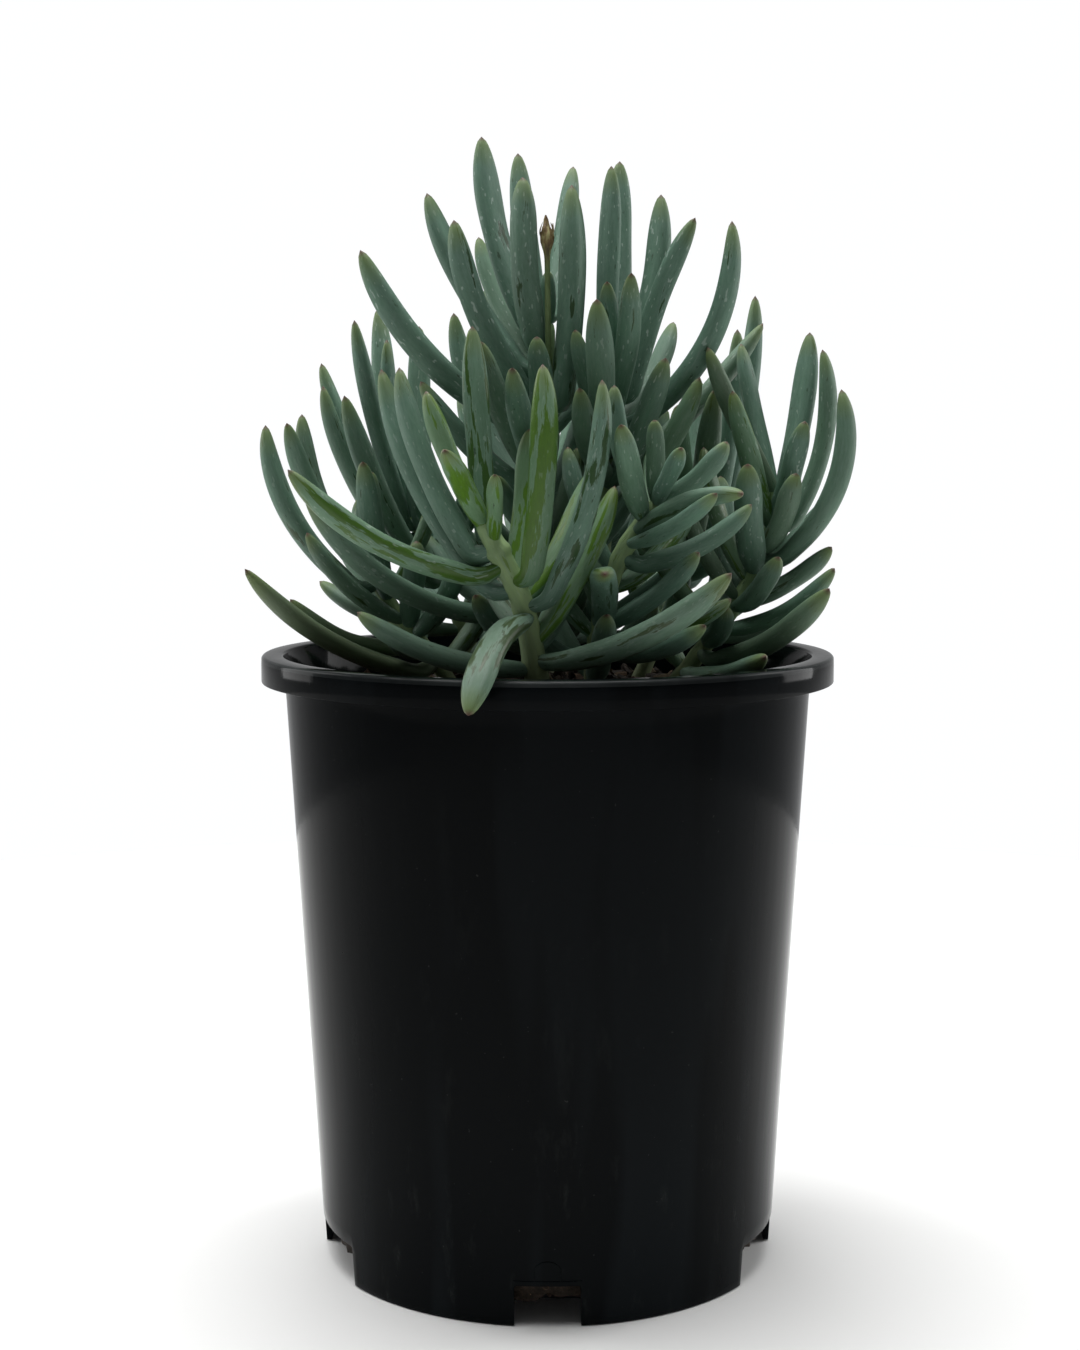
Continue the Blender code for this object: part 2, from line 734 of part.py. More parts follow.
def make_flower(thicket, kept, finish):
    """The dried flower on its thin stalk."""
    points = [Vector(p) * MM for p in FLOWER_LINE]
    radii = [r * MM for r in FLOWER_RADII]
    thicket.add("spent_flower", points, radii)
    kept.objects.link(tube("spent_flower", points, radii, LEAF_SIDES, finish))


def main():
    kept, cutters = start_clean()
    finishes = {name: material(name, colour, 0.25 if name == "pot" else 0.6) for name, colour in GREENS.items()}
    make_pot(kept, cutters, finishes["pot"])
    make_mix(kept, cutters, finishes["mix"])
    thicket = Thicket()
    stems = make_stems(thicket)
    make_flower(thicket, kept, finishes["flower"])
    make_leaves(thicket, stems, kept, finishes["leaf"])
    make_shoots(thicket, stems, kept, cutters, finishes["shoot"])


main()
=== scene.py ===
"""Blue chalk sticks in a black nursery pot: the finishes and the fine surfaces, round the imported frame."""

import math

import bmesh
import bpy
import numpy as np
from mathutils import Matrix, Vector, noise


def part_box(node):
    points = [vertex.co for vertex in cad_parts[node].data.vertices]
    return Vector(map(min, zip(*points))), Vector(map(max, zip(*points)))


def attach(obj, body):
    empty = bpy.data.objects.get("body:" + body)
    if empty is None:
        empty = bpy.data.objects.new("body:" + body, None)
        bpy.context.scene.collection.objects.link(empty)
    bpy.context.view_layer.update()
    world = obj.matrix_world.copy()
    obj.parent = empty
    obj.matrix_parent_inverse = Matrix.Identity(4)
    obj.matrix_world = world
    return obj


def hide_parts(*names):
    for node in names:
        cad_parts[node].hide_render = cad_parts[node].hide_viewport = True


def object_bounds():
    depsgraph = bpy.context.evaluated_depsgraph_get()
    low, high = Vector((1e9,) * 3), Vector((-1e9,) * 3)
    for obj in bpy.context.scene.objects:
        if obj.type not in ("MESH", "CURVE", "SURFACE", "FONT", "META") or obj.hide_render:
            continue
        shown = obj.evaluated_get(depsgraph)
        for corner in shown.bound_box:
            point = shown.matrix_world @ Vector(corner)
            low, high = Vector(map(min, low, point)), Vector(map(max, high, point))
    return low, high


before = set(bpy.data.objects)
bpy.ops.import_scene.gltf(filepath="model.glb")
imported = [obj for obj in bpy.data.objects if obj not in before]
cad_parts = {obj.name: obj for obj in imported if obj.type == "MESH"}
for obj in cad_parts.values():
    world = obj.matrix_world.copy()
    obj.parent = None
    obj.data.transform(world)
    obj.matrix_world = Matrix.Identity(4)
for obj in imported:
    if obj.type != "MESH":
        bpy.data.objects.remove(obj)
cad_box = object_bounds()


# --------------------------------------------------
# The pot: one injection-moulded shell of glossy black polypropylene. Its rim is turned over into a
# hollow roll, its base sits a little above the ground, and five notches at the foot let water out.
# --------------------------------------------------

MM = 0.001
POT_SIDES = 160
POT_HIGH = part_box("pot")[1].z
RIM_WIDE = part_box("pot")[1].x
RIM_DEEP = 7 * MM
WALL = 1.4 * MM
MOUTH = 70 * MM
BODY_TOP = 70.2 * MM
FOOT = 60.6 * MM
BASE_UNDER = 4 * MM
BASE_OVER = 5.5 * MM
NOTCH_HIGH = 10.4 * MM
NOTCH_IN = 8 * MM
SMOOTH_UNDER = math.radians(38)
NOTCHES = ((-90, 16.5 * MM), (-18, 34 * MM), (54, 34 * MM), (126, 34 * MM), (198, 34 * MM))


def nothing_selected():
    """Back to object mode with nothing selected, so the next operator takes only what it is given."""
    if bpy.context.object and bpy.context.object.mode != "OBJECT":
        bpy.ops.object.mode_set(mode="OBJECT")
    bpy.ops.object.select_all(action="DESELECT")


def draw_rings(start, rings):
    """Extrude the selected ring of edges through each next (radius, height), from start."""
    radius, height = start
    for next_radius, next_height in rings:
        bpy.ops.mesh.extrude_edges_move(TRANSFORM_OT_translate={"value": (0, 0, next_height - height)})
        scale = next_radius / radius
        bpy.ops.transform.resize(value=(scale, scale, 1), center_override=(0, 0, 0))
        radius, height = next_radius, next_height


def close_at_axis():
    """Draw the selected ring in to one point on the axis."""
    bpy.ops.mesh.extrude_edges_move(TRANSFORM_OT_translate={"value": (0, 0, 0)})
    bpy.ops.mesh.merge(type="CENTER")


def select_ring(thing, radius, height):
    """In edit mode, select only the points of one ring."""
    work = bmesh.from_edit_mesh(thing.data)
    for point in work.verts:
        point.select = abs(point.co.z - height) < 1e-5 and abs(point.co.xy.length - radius) < 1e-5
    work.select_flush_mode()
    bmesh.update_edit_mesh(thing.data)


def select_only(thing):
    """Leave one thing selected and active, in object mode."""
    nothing_selected()
    thing.select_set(True)
    bpy.context.view_layer.objects.active = thing


def apply_all(thing):
    """Apply a piece's modifiers from the top down."""
    select_only(thing)
    for step in list(thing.modifiers):
        bpy.ops.object.modifier_apply(modifier=step.name)


def outer_radius(height):
    """The pot's outside, which tapers evenly from under the rim to the foot."""
    return FOOT + (BODY_TOP - FOOT) * height / POT_HIGH


def turn_pot():
    """Draw the pot's wall up from its foot, over the rolled rim and down inside, then its underside."""
    nothing_selected()
    bpy.ops.mesh.primitive_circle_add(vertices=POT_SIDES, radius=FOOT, fill_type="NOTHING")
    pot = bpy.context.object
    pot.name = "nursery_pot"
    bpy.ops.object.mode_set(mode="EDIT")
    bpy.ops.mesh.select_all(action="SELECT")
    top = POT_HIGH
    outside = [(outer_radius(z * MM), z * MM) for z in (2, 5, 9, 14, 24, 44, 64, 84, 104, 124, 140, 150)]
    outside.append((BODY_TOP, top - 3.2 * MM))
    roll_inside = [(BODY_TOP + 0.25 * MM, top - 2.2 * MM), (BODY_TOP + 0.8 * MM, top - WALL)]
    roll_inside += [(RIM_WIDE - WALL - 0.5 * MM, top - WALL), (RIM_WIDE - WALL, top - WALL - 0.5 * MM)]
    band = [(RIM_WIDE - WALL, top - RIM_DEEP), (RIM_WIDE, top - RIM_DEEP), (RIM_WIDE, top - 2.6 * MM)]
    flange = [(RIM_WIDE - 3 * MM, top), (MOUTH + 0.8 * MM, top)]
    turn, lip = [], []
    for step in range(1, 6):
        angle = math.radians(90 * step / 5)
        turn.append((RIM_WIDE - 1.1 * MM * (1 - math.cos(angle)), top - 1.1 * MM * (1 - math.sin(angle))))
        lip.append((MOUTH + 0.8 * MM * (1 - math.sin(angle)), top - 1.0 * MM * (1 - math.cos(angle))))
    inner_top = MOUTH - 1.2 * MM
    inner_foot = FOOT - WALL
    inside = [(inner_top, top - 3 * MM)]
    for z in (140, 120, 90, 60, 30, 12):
        share = (z * MM - BASE_OVER) / (top - 3 * MM - BASE_OVER)
        inside.append((inner_foot + (inner_top - inner_foot) * share, z * MM))
    base = [(inner_foot + 0.2 * MM, BASE_OVER + 1 * MM), (inner_foot - 1 * MM, BASE_OVER)]
    base.append((30 * MM, BASE_OVER))
    draw_rings((FOOT, 0.0), outside + roll_inside + band + turn + flange + lip + inside + base)
    close_at_axis()
    select_ring(pot, FOOT, 0.0)
    draw_rings((FOOT, 0.0), [(inner_foot, 0.0), (inner_foot, BASE_UNDER), (40 * MM, BASE_UNDER)])
    close_at_axis()
    bpy.ops.mesh.select_all(action="SELECT")
    bpy.ops.mesh.normals_make_consistent(inside=False)
    bpy.ops.object.mode_set(mode="OBJECT")
    return pot


def cut_notches(pot):
    """Cut the drainage notches with softly rounded blocks."""
    blocks = []
    for index, (angle, width) in enumerate(NOTCHES):
        nothing_selected()
        bpy.ops.mesh.primitive_cube_add(size=1)
        block = bpy.context.object
        block.name = f"notch_block_{index}"
        block.scale = (NOTCH_IN + 4 * MM, width, NOTCH_HIGH + 3 * MM)
        bpy.ops.object.transform_apply(location=False, rotation=False, scale=True)
        turn = math.radians(angle)
        reach = FOOT + 4 * MM - (NOTCH_IN + 4 * MM) / 2
        block.location = (reach * math.cos(turn), reach * math.sin(turn), (NOTCH_HIGH - 3 * MM) / 2)
        block.rotation_euler.z = turn
        soften = block.modifiers.new("soften", "BEVEL")
        soften.width = 0.7 * MM
        soften.segments = 3
        blocks.append(block)
        cut = pot.modifiers.new(block.name, "BOOLEAN")
        cut.operation = "DIFFERENCE"
        cut.solver = "EXACT"
        cut.object = block
    ease = pot.modifiers.new("ease_edges", "BEVEL")
    ease.width = 0.22 * MM
    ease.segments = 2
    ease.limit_method = "ANGLE"
    ease.angle_limit = math.radians(50)
    ease.use_clamp_overlap = True
    apply_all(pot)
    for block in blocks:
        bpy.data.objects.remove(block, do_unlink=True)


def finish_piece(piece, material, slot, *nodes):
    """Shade a finished piece smooth, give it its material, hang it on the root body, and hide the frame's
    parts that it stands for.
    """
    piece.data.materials.clear()
    piece.data.materials.append(material)
    select_only(piece)
    bpy.ops.object.shade_smooth_by_angle(angle=SMOOTH_UNDER)
    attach(piece, "root")
    if nodes:
        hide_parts(*nodes)


def new_material(name):
    """An empty node material with its Principled BSDF."""
    made = bpy.data.materials.new(name)
    made.use_nodes = True
    return made, made.node_tree, made.node_tree.nodes["Principled BSDF"]


def ramp(tree, source, *stops):
    """A colour ramp through (place, colour) stops."""
    node = tree.nodes.new("ShaderNodeValToRGB")
    while len(node.color_ramp.elements) < len(stops):
        node.color_ramp.elements.new(0.5)
    for element, (place, colour) in zip(node.color_ramp.elements, stops):
        element.position = place
        element.color = (*colour, 1.0) if isinstance(colour, tuple) else (colour, colour, colour, 1.0)
    tree.links.new(source, node.inputs["Fac"])
    return node.outputs["Color"]


def mix_colours(tree, share, first, second, blend="MIX"):
    """Mix two colours, each a socket or a colour, by a socket or a number."""
    node = tree.nodes.new("ShaderNodeMix")
    node.data_type = "RGBA"
    node.blend_type = blend
    for name, value in (("Factor", share), ("A", first), ("B", second)):
        socket = next(s for s in node.inputs if s.name == name and s.enabled)
        if isinstance(value, bpy.types.NodeSocket):
            tree.links.new(value, socket)
        else:
            socket.default_value = (*value, 1.0) if isinstance(value, tuple) else value
    return next(s for s in node.outputs if s.enabled)


def maths(tree, operation, first, second=0.0, clamp=False):
    """One operation on two values, each a socket or a number."""
    node = tree.nodes.new("ShaderNodeMath")
    node.operation = operation
    node.use_clamp = clamp
    for socket, value in zip(node.inputs, (first, second)):
        if isinstance(value, bpy.types.NodeSocket):
            tree.links.new(value, socket)
        else:
            socket.default_value = value
    return node.outputs[0]


def scaled_coordinates(tree, source, scale):
    """Stretch a pattern's coordinates."""
    node = tree.nodes.new("ShaderNodeMapping")
    node.inputs["Scale"].default_value = scale
    tree.links.new(source, node.inputs["Vector"])
    return node.outputs["Vector"]


def pattern(tree, coordinates, scale, detail=3.0, roughness=0.55):
    """A noise pattern's value."""
    node = tree.nodes.new("ShaderNodeTexNoise")
    node.inputs["Scale"].default_value = scale
    node.inputs["Detail"].default_value = detail
    node.inputs["Roughness"].default_value = roughness
    tree.links.new(coordinates, node.inputs["Vector"])
    return node.outputs["Fac"]


def relief(tree, height, strength, distance, shader):
    """Feed a height to a shader's normal through a bump."""
    node = tree.nodes.new("ShaderNodeBump")
    node.inputs["Strength"].default_value = strength
    node.inputs["Distance"].default_value = distance
    tree.links.new(height, node.inputs["Height"])
    tree.links.new(node.outputs["Normal"], shader.inputs["Normal"])


def pot_finish():
    """Glossy black plastic: faint upright flow lines, scuffs low down, a little dust and worn specks,
    painted reflection bands brighter towards the foot, and a painted highlight on the rim's top edge.
    """
    made, tree, shader = new_material("glossy_black_plastic")
    place = tree.nodes.new("ShaderNodeTexCoord").outputs["Object"]
    upright = pattern(tree, scaled_coordinates(tree, place, (220, 220, 6)), 1.0, 4.0)
    cloudy = pattern(tree, place, 26.0, 5.0)
    fine = pattern(tree, place, 420.0, 3.0)
    split = tree.nodes.new("ShaderNodeSeparateXYZ")
    tree.links.new(place, split.inputs[0])
    up_share = maths(tree, "DIVIDE", split.outputs["Z"], POT_HIGH)
    low_down = ramp(tree, up_share, (0.0, 1.0), (0.40, 0.30), (0.95, 0.06))
    scuffs = pattern(tree, scaled_coordinates(tree, place, (150, 150, 45)), 1.0, 6.0, 0.7)
    scuffed = maths(tree, "MULTIPLY", ramp(tree, scuffs, (0.58, 0.0), (0.70, 1.0)), low_down)
    specks = ramp(tree, pattern(tree, place, 900.0, 1.0), (0.78, 0.0), (0.80, 1.0))
    black = mix_colours(tree, cloudy, (0.0006, 0.0009, 0.0011), (0.0014, 0.0020, 0.0022))
    # Painted reflection: faint upright bands of lighter grey, stronger towards the foot, stand in for the
    # surroundings and the floor reflected in the black.
    reflection_bands = pattern(tree, scaled_coordinates(tree, place, (46, 46, 3)), 1.0, 2.0)
    reflection_bands = maths(tree, "ADD", ramp(tree, reflection_bands, (0.50, 0.15), (0.57, 1.0)), 0.25)
    painted_reflection = maths(tree, "MULTIPLY", reflection_bands, ramp(tree, low_down, (0.0, 0.25), (1.0, 1.0)))
    black = mix_colours(tree, painted_reflection, black, (0.0062, 0.0082, 0.0095))
    dusty = mix_colours(tree, maths(tree, "MULTIPLY", scuffed, 0.30), black, (0.030, 0.034, 0.032))
    speckled = mix_colours(tree, maths(tree, "MULTIPLY", specks, 0.10), dusty, (0.18, 0.18, 0.17))
    # Painted highlight: a thin lighter line along the rim's rounded top edge, broken up by the cloudy
    # pattern.
    out = tree.nodes.new("ShaderNodeVectorMath")
    out.operation = "LENGTH"
    tree.links.new(scaled_coordinates(tree, place, (1, 1, 0)), out.inputs[0])
    near_edge = maths(tree, "ABSOLUTE", maths(tree, "SUBTRACT", out.outputs["Value"], RIM_WIDE - 0.6 * MM))
    at_top = maths(tree, "GREATER_THAN", split.outputs["Z"], POT_HIGH - 1.4 * MM)
    edge = ramp(tree, maths(tree, "DIVIDE", near_edge, MM), (0.3, 1.0), (0.9, 0.0))
    edge = maths(tree, "MULTIPLY", edge, at_top)
    edge = maths(tree, "MULTIPLY", edge, ramp(tree, cloudy, (0.38, 0.15), (0.62, 0.6)))
    speckled = mix_colours(tree, edge, speckled, (0.060, 0.066, 0.066))
    tree.links.new(speckled, shader.inputs["Base Color"])
    rough = maths(tree, "ADD", 0.06, maths(tree, "MULTIPLY", scuffed, 0.30))
    rough = maths(tree, "ADD", rough, maths(tree, "MULTIPLY", cloudy, 0.08))
    tree.links.new(rough, shader.inputs["Roughness"])
    shader.inputs["IOR"].default_value = 1.46
    shader.inputs["Specular IOR Level"].default_value = 0.045
    height = maths(tree, "ADD", maths(tree, "MULTIPLY", upright, 0.6), maths(tree, "MULTIPLY", fine, 0.10))
    height = maths(tree, "SUBTRACT", height, maths(tree, "MULTIPLY", scuffed, 0.25))
    relief(tree, height, 0.22, 0.25 * MM, shader)
    return made


POT_FINISH = pot_finish()
pot = turn_pot()
cut_notches(pot)
finish_piece(pot, POT_FINISH, "pot_plastic", "pot")

# The moulding marks over the front notch: a thin ledge, and the outline of a small round-topped tab.
LEDGE_HIGH = 11.7 * MM
LEDGE_WIDE = 17 * MM
TAB_WIDE = 6.6 * MM
TAB_HIGH = 5.2 * MM
MARK_THICK = 0.16 * MM


def on_front(across, height):
    """A point on the pot's outside, near the front, across and up."""
    radius = outer_radius(height)
    turn = across / radius - math.pi / 2
    return (radius * math.cos(turn), radius * math.sin(turn), height)


def raised_line(name, points):
    """A thin rounded ridge along points, as a closed mesh."""
    curve = bpy.data.curves.new(name, "CURVE")
    curve.dimensions = "3D"
    curve.bevel_depth = MARK_THICK
    curve.bevel_resolution = 2
    curve.use_fill_caps = True
    spline = curve.splines.new("POLY")
    spline.points.add(len(points) - 1)
    for knot, place in zip(spline.points, points):
        knot.co = (*place, 1.0)
    drawn = bpy.data.objects.new(name, curve)
    bpy.context.scene.collection.objects.link(drawn)
    select_only(drawn)
    bpy.ops.object.convert(target="MESH")
    work = bmesh.new()
    work.from_mesh(drawn.data)
    bmesh.ops.remove_doubles(work, verts=work.verts, dist=1e-6)
    bmesh.ops.recalc_face_normals(work, faces=work.faces)
    work.to_mesh(drawn.data)
    work.free()
    return drawn


ledge = raised_line("pot_ledge", [on_front((s / 12 - 0.5) * LEDGE_WIDE, LEDGE_HIGH) for s in range(13)])
finish_piece(ledge, POT_FINISH, "pot_plastic")
tab_side = [on_front(-TAB_WIDE / 2, LEDGE_HIGH + TAB_HIGH * s / 6) for s in range(4)]
tab_arch = []
for step in range(1, 10):
    angle = math.radians(180 - 180 * step / 10)
    rise = LEDGE_HIGH + TAB_HIGH * (0.5 + 0.5 * math.sin(angle))
    tab_arch.append(on_front(TAB_WIDE / 2 * math.cos(angle), rise))
tab_down = [on_front(TAB_WIDE / 2, LEDGE_HIGH + TAB_HIGH * s / 6) for s in (3, 2, 1, 0)]
tab = raised_line("pot_tab_outline", tab_side + tab_arch + tab_down)
finish_piece(tab, POT_FINISH, "pot_plastic")


# --------------------------------------------------
# The potting mix: composted bark and peat, settled a little below the rim and crowned round the
# stems. Its surface is uneven, with loose bark chips and crumbs lying on it.
# --------------------------------------------------

MIX_LOW, MIX_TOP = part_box("potting_mix")
MIX_SIDES = 120
CROWN_RINGS = 34
MIX_WIDE = MIX_TOP.x
MIX_FOOT_WIDE = 57.0 * MM
MIX_SHOULDER = MIX_TOP.z - 3 * MM


def shake(thing, size, scale, seed):
    """Move a mesh's points along their normals by layered noise, as loose matter lies."""
    for point in thing.data.vertices:
        spot = point.co * scale + Vector((seed, seed * 0.7, -seed))
        point.co += point.normal * noise.fractal(spot, 0.9, 2.1, 4) * size


def turn_mix():
    """The body of the mix, drawn out in rings and then roughened."""
    nothing_selected()
    bpy.ops.mesh.primitive_circle_add(vertices=MIX_SIDES, radius=MIX_FOOT_WIDE, fill_type="NOTHING",
                                      location=(0, 0, MIX_LOW.z))
    mix = bpy.context.object
    mix.name = "mix_body"
    bpy.ops.object.transform_apply(location=True, rotation=False, scale=False)
    bpy.ops.object.mode_set(mode="EDIT")
    bpy.ops.mesh.select_all(action="SELECT")
    side = []
    for z in (7, 8.5, 10, 11.5, 13, 16, 30, 60, 90, 120, 140):
        share = (z * MM - MIX_LOW.z) / (MIX_SHOULDER - MIX_LOW.z)
        side.append((MIX_FOOT_WIDE + (MIX_WIDE - MIX_FOOT_WIDE) * share, z * MM))
    crown = []
    for step in range(CROWN_RINGS):
        out = 1 - step / CROWN_RINGS
        crown.append((MIX_WIDE * out, MIX_SHOULDER + 3 * MM * math.cos(out * math.pi / 2) ** 0.6))
    start = (MIX_FOOT_WIDE, MIX_LOW.z)
    draw_rings(start, side + crown)
    close_at_axis()
    select_ring(mix, *start)
    draw_rings(start, [(48 * MM, MIX_LOW.z), (36 * MM, MIX_LOW.z)])
    close_at_axis()
    bpy.ops.mesh.select_all(action="SELECT")
    bpy.ops.mesh.normals_make_consistent(inside=False)
    bpy.ops.object.mode_set(mode="OBJECT")
    shake(mix, 1.6 * MM, 120, 3.0)
    shake(mix, 1.1 * MM, 420, 9.0)
    return mix


def random_turns(maker, count):
    """Evenly random rotation matrices."""
    q = maker.normal(size=(count, 4))
    q /= np.linalg.norm(q, axis=1, keepdims=True)
    w, x, y, z = q.T
    rows = [1 - 2 * (y * y + z * z), 2 * (x * y - z * w), 2 * (x * z + y * w)]
    rows += [2 * (x * y + z * w), 1 - 2 * (x * x + z * z), 2 * (y * z - x * w)]
    rows += [2 * (x * z - y * w), 2 * (y * z + x * w), 1 - 2 * (x * x + y * y)]
    return np.stack(rows, axis=1).reshape(count, 3, 3)


def mesh_piece(name, points, faces, **values):
    """A new object from points and faces, all facing outwards, with named values at each point."""
    mesh = bpy.data.meshes.new(name)
    mesh.from_pydata([tuple(p) for p in points], [], [tuple(f) for f in faces])
    for label, numbers in values.items():
        numbers = np.asarray(numbers, np.float32)
        kind = "FLOAT_VECTOR" if numbers.ndim == 2 else "FLOAT"
        layer = mesh.attributes.new(label, kind, "POINT")
        layer.data.foreach_set("vector" if numbers.ndim == 2 else "value", numbers.ravel())
    mesh.update()
    work = bmesh.new()
    work.from_mesh(mesh)
    bmesh.ops.recalc_face_normals(work, faces=work.faces)
    work.to_mesh(mesh)
    work.free()
    piece = bpy.data.objects.new(name, mesh)
    bpy.context.scene.collection.objects.link(piece)
    return piece


def crumbs(name, places, sizes, flatness, maker):
    """Many small broken lumps in one mesh: each a knobbly ball of few faces, squashed and turned."""
    nothing_selected()
    bpy.ops.mesh.primitive_ico_sphere_add(subdivisions=1, radius=1)
    pattern_ball = bpy.context.object
    ball = np.array([v.co for v in pattern_ball.data.vertices])
    faces = np.array([p.vertices for p in pattern_ball.data.polygons])
    bpy.data.objects.remove(pattern_ball, do_unlink=True)
    turns = random_turns(maker, len(places))
    points = []
    tints = []
    for index, (place, size) in enumerate(zip(places, sizes)):
        lump = ball * (1 + 0.28 * maker.normal(size=(len(ball), 1)))
        lump = lump * size * np.array([1.0, 0.75, flatness]) * maker.uniform(0.75, 1.25, 3)
        points.append(lump @ turns[index].T + place)
        tints.append(np.full(len(ball), maker.random()))
    joined = np.concatenate(points)
    all_faces = np.concatenate([faces + i * len(ball) for i in range(len(places))])
    return mesh_piece(name, joined, all_faces, tint=np.concatenate(tints))


def ground_height(mix):
    """The mix's height under any point of its top, from its own mesh."""
    tops = np.array([v.co for v in mix.data.vertices if v.co.z > MIX_SHOULDER - 2 * MM])

    def under(x, y):
        near = np.argmin((tops[:, 0] - x) ** 2 + (tops[:, 1] - y) ** 2)
        return tops[near, 2]

    return under


def mix_finish():
    """Damp dark humus, browner and lighter where a chip has dried."""
    made, tree, shader = new_material("potting_mix")
    place = tree.nodes.new("ShaderNodeTexCoord").outputs["Object"]
    grain = pattern(tree, place, 700.0, 5.0, 0.7)
    patches = pattern(tree, place, 90.0, 3.0)
    tint = tree.nodes.new("ShaderNodeAttribute")
    tint.attribute_name = "tint"
    soil = ramp(tree, grain, (0.30, (0.006, 0.004, 0.003)), (0.52, (0.020, 0.013, 0.008)),
                (0.74, (0.055, 0.036, 0.022)))
    bark = ramp(tree, tint.outputs["Fac"], (0.0, (0.012, 0.008, 0.006)), (0.55, (0.055, 0.030, 0.016)),
                (0.85, (0.13, 0.075, 0.040)), (0.97, (0.22, 0.17, 0.11)))
    colour = mix_colours(tree, maths(tree, "MULTIPLY", tint.outputs["Fac"], 0.75), soil, bark)
    colour = mix_colours(tree, ramp(tree, patches, (0.45, 0.0), (0.75, 0.5)), colour, (0.010, 0.008, 0.006))
    tree.links.new(colour, shader.inputs["Base Color"])
    tree.links.new(ramp(tree, grain, (0.2, 0.95), (0.8, 0.7)), shader.inputs["Roughness"])
    shader.inputs["Specular IOR Level"].default_value = 0.25
    relief(tree, grain, 0.8, 0.7 * MM, shader)
    return made


MIX_FINISH = mix_finish()
mix_body = turn_mix()
finish_piece(mix_body, MIX_FINISH, "mix", "potting_mix")
ground_at = ground_height(mix_body)
mix_maker = np.random.default_rng(11)
CRUMB_COUNT = 900
CHIP_COUNT = 150
NOTCH_CRUMBS = 26
NOTCH_CRUMBS_OUT = 56 * MM


def scatter(count, inset, lift):
    """Places spread evenly over the mix's top, short of its edge and a little above it."""
    spread = np.sqrt(mix_maker.random(count)) * (MIX_WIDE - inset)
    bearing = mix_maker.random(count) * 2 * math.pi
    flat = [(r * math.cos(a), r * math.sin(a)) for r, a in zip(spread, bearing)]
    return np.array([(x, y, ground_at(x, y) + lift) for x, y in flat])


crumb_places = scatter(CRUMB_COUNT, 2.5 * MM, 0.0)
crumb_sizes = mix_maker.gamma(3.0, 0.32 * MM, CRUMB_COUNT) + 0.4 * MM
top_crumbs = crumbs("mix_crumbs", crumb_places, np.minimum(crumb_sizes, 2.2 * MM), 0.8, mix_maker)
finish_piece(top_crumbs, MIX_FINISH, "mix")

chip_places = scatter(CHIP_COUNT, 6 * MM, 0.6 * MM)
chip_sizes = mix_maker.uniform(1.6 * MM, 3.4 * MM, CHIP_COUNT)
bark_chips = crumbs("bark_chips", chip_places, chip_sizes, 0.28, mix_maker)
finish_piece(bark_chips, MIX_FINISH, "mix")

notch_places = []
for angle, width in NOTCHES:
    for _ in range(NOTCH_CRUMBS if width > 20 * MM else NOTCH_CRUMBS // 2):
        across = (mix_maker.random() - 0.5) * (width - 3 * MM)
        height = mix_maker.uniform(6.6 * MM, 9.4 * MM)
        turn, out = math.radians(angle), NOTCH_CRUMBS_OUT
        notch_places.append((out * math.cos(turn) - across * math.sin(turn),
                             out * math.sin(turn) + across * math.cos(turn), height))
notch_sizes = mix_maker.uniform(0.7 * MM, 1.7 * MM, len(notch_places))
notch_crumbs = crumbs("notch_crumbs", np.array(notch_places), notch_sizes, 0.8, mix_maker)
finish_piece(notch_crumbs, MIX_FINISH, "mix")


# --------------------------------------------------
# The stems: soft and pale green where they are young, woodier and browner down by the mix, with
# small scars where old leaves have dropped. Each rises out of the mix and carries a shoot's leaves.
# --------------------------------------------------

# The points (mm) that each stem passes through, as in the construction, and its radii (mm).
STEMS = {
    "main": (((-2, 3, 144), (-3, 2, 180), (-1, 0, 225), (0, 0, 250)), 3.0, 2.1),
    "twin": (((12, 9, 144), (14, 7, 180), (17, 4, 218), (18, 3, 243)), 2.6, 1.9),
    "front": (((-1, -42, 144), (-3, -45, 162), (-6, -47, 178), (-11, -49, 189), (-16, -50, 199)), 3.2, 2.5),
    "front_right": (((11, -22, 144), (13, -25, 168), (18, -29, 188), (28, -31, 203)), 2.9, 2.1),
    "left": (((-22, 8, 144), (-30, 8, 158), (-42, 6, 174), (-50, 5, 188)), 2.3, 1.7),
    "back_left": (((-16, 24, 144), (-26, 28, 172), (-38, 29, 198)), 2.3, 1.7),
    "right": (((26, 3, 144), (38, 2, 158), (51, 0, 176), (59, -2, 194), (60, -3, 206)), 2.5, 1.7),
    "back_right": (((22, 26, 144), (33, 31, 168), (45, 33, 198)), 2.3, 1.7),
    "back": (((0, 40, 144), (-1, 47, 170), (-2, 50, 202)), 2.3, 1.7),
}
STEM_RINGS = 70
STEM_SIDES = 22
STEM_SCARS = 9
SKIN_STEP = 3 * MM


def smooth_line(knots, count):
    """Evenly spaced points on the smooth curve through a few given ones."""
    knots = [np.asarray(k, float) for k in knots]
    knots = [2 * knots[0] - knots[1], *knots, 2 * knots[-1] - knots[-2]]
    dense = []
    for a, b, c, d in zip(knots, knots[1:], knots[2:], knots[3:]):
        for t in np.arange(12) / 12:
            dense.append(0.5 * (2 * b + t * (c - a) + t * t * (2 * a - 5 * b + 4 * c - d)
                                + t**3 * (3 * b - a - 3 * c + d)))
    dense = np.array([*dense, knots[-2]])
    run = np.concatenate([[0.0], np.cumsum(np.linalg.norm(np.diff(dense, axis=0), axis=1))])
    places = np.linspace(0.0, run[-1], count)
    return np.stack([np.interp(places, run, dense[:, axis]) for axis in range(3)], axis=1)


def unit(vectors):
    """Vectors of length one."""
    return vectors / np.maximum(np.linalg.norm(vectors, axis=-1, keepdims=True), 1e-12)


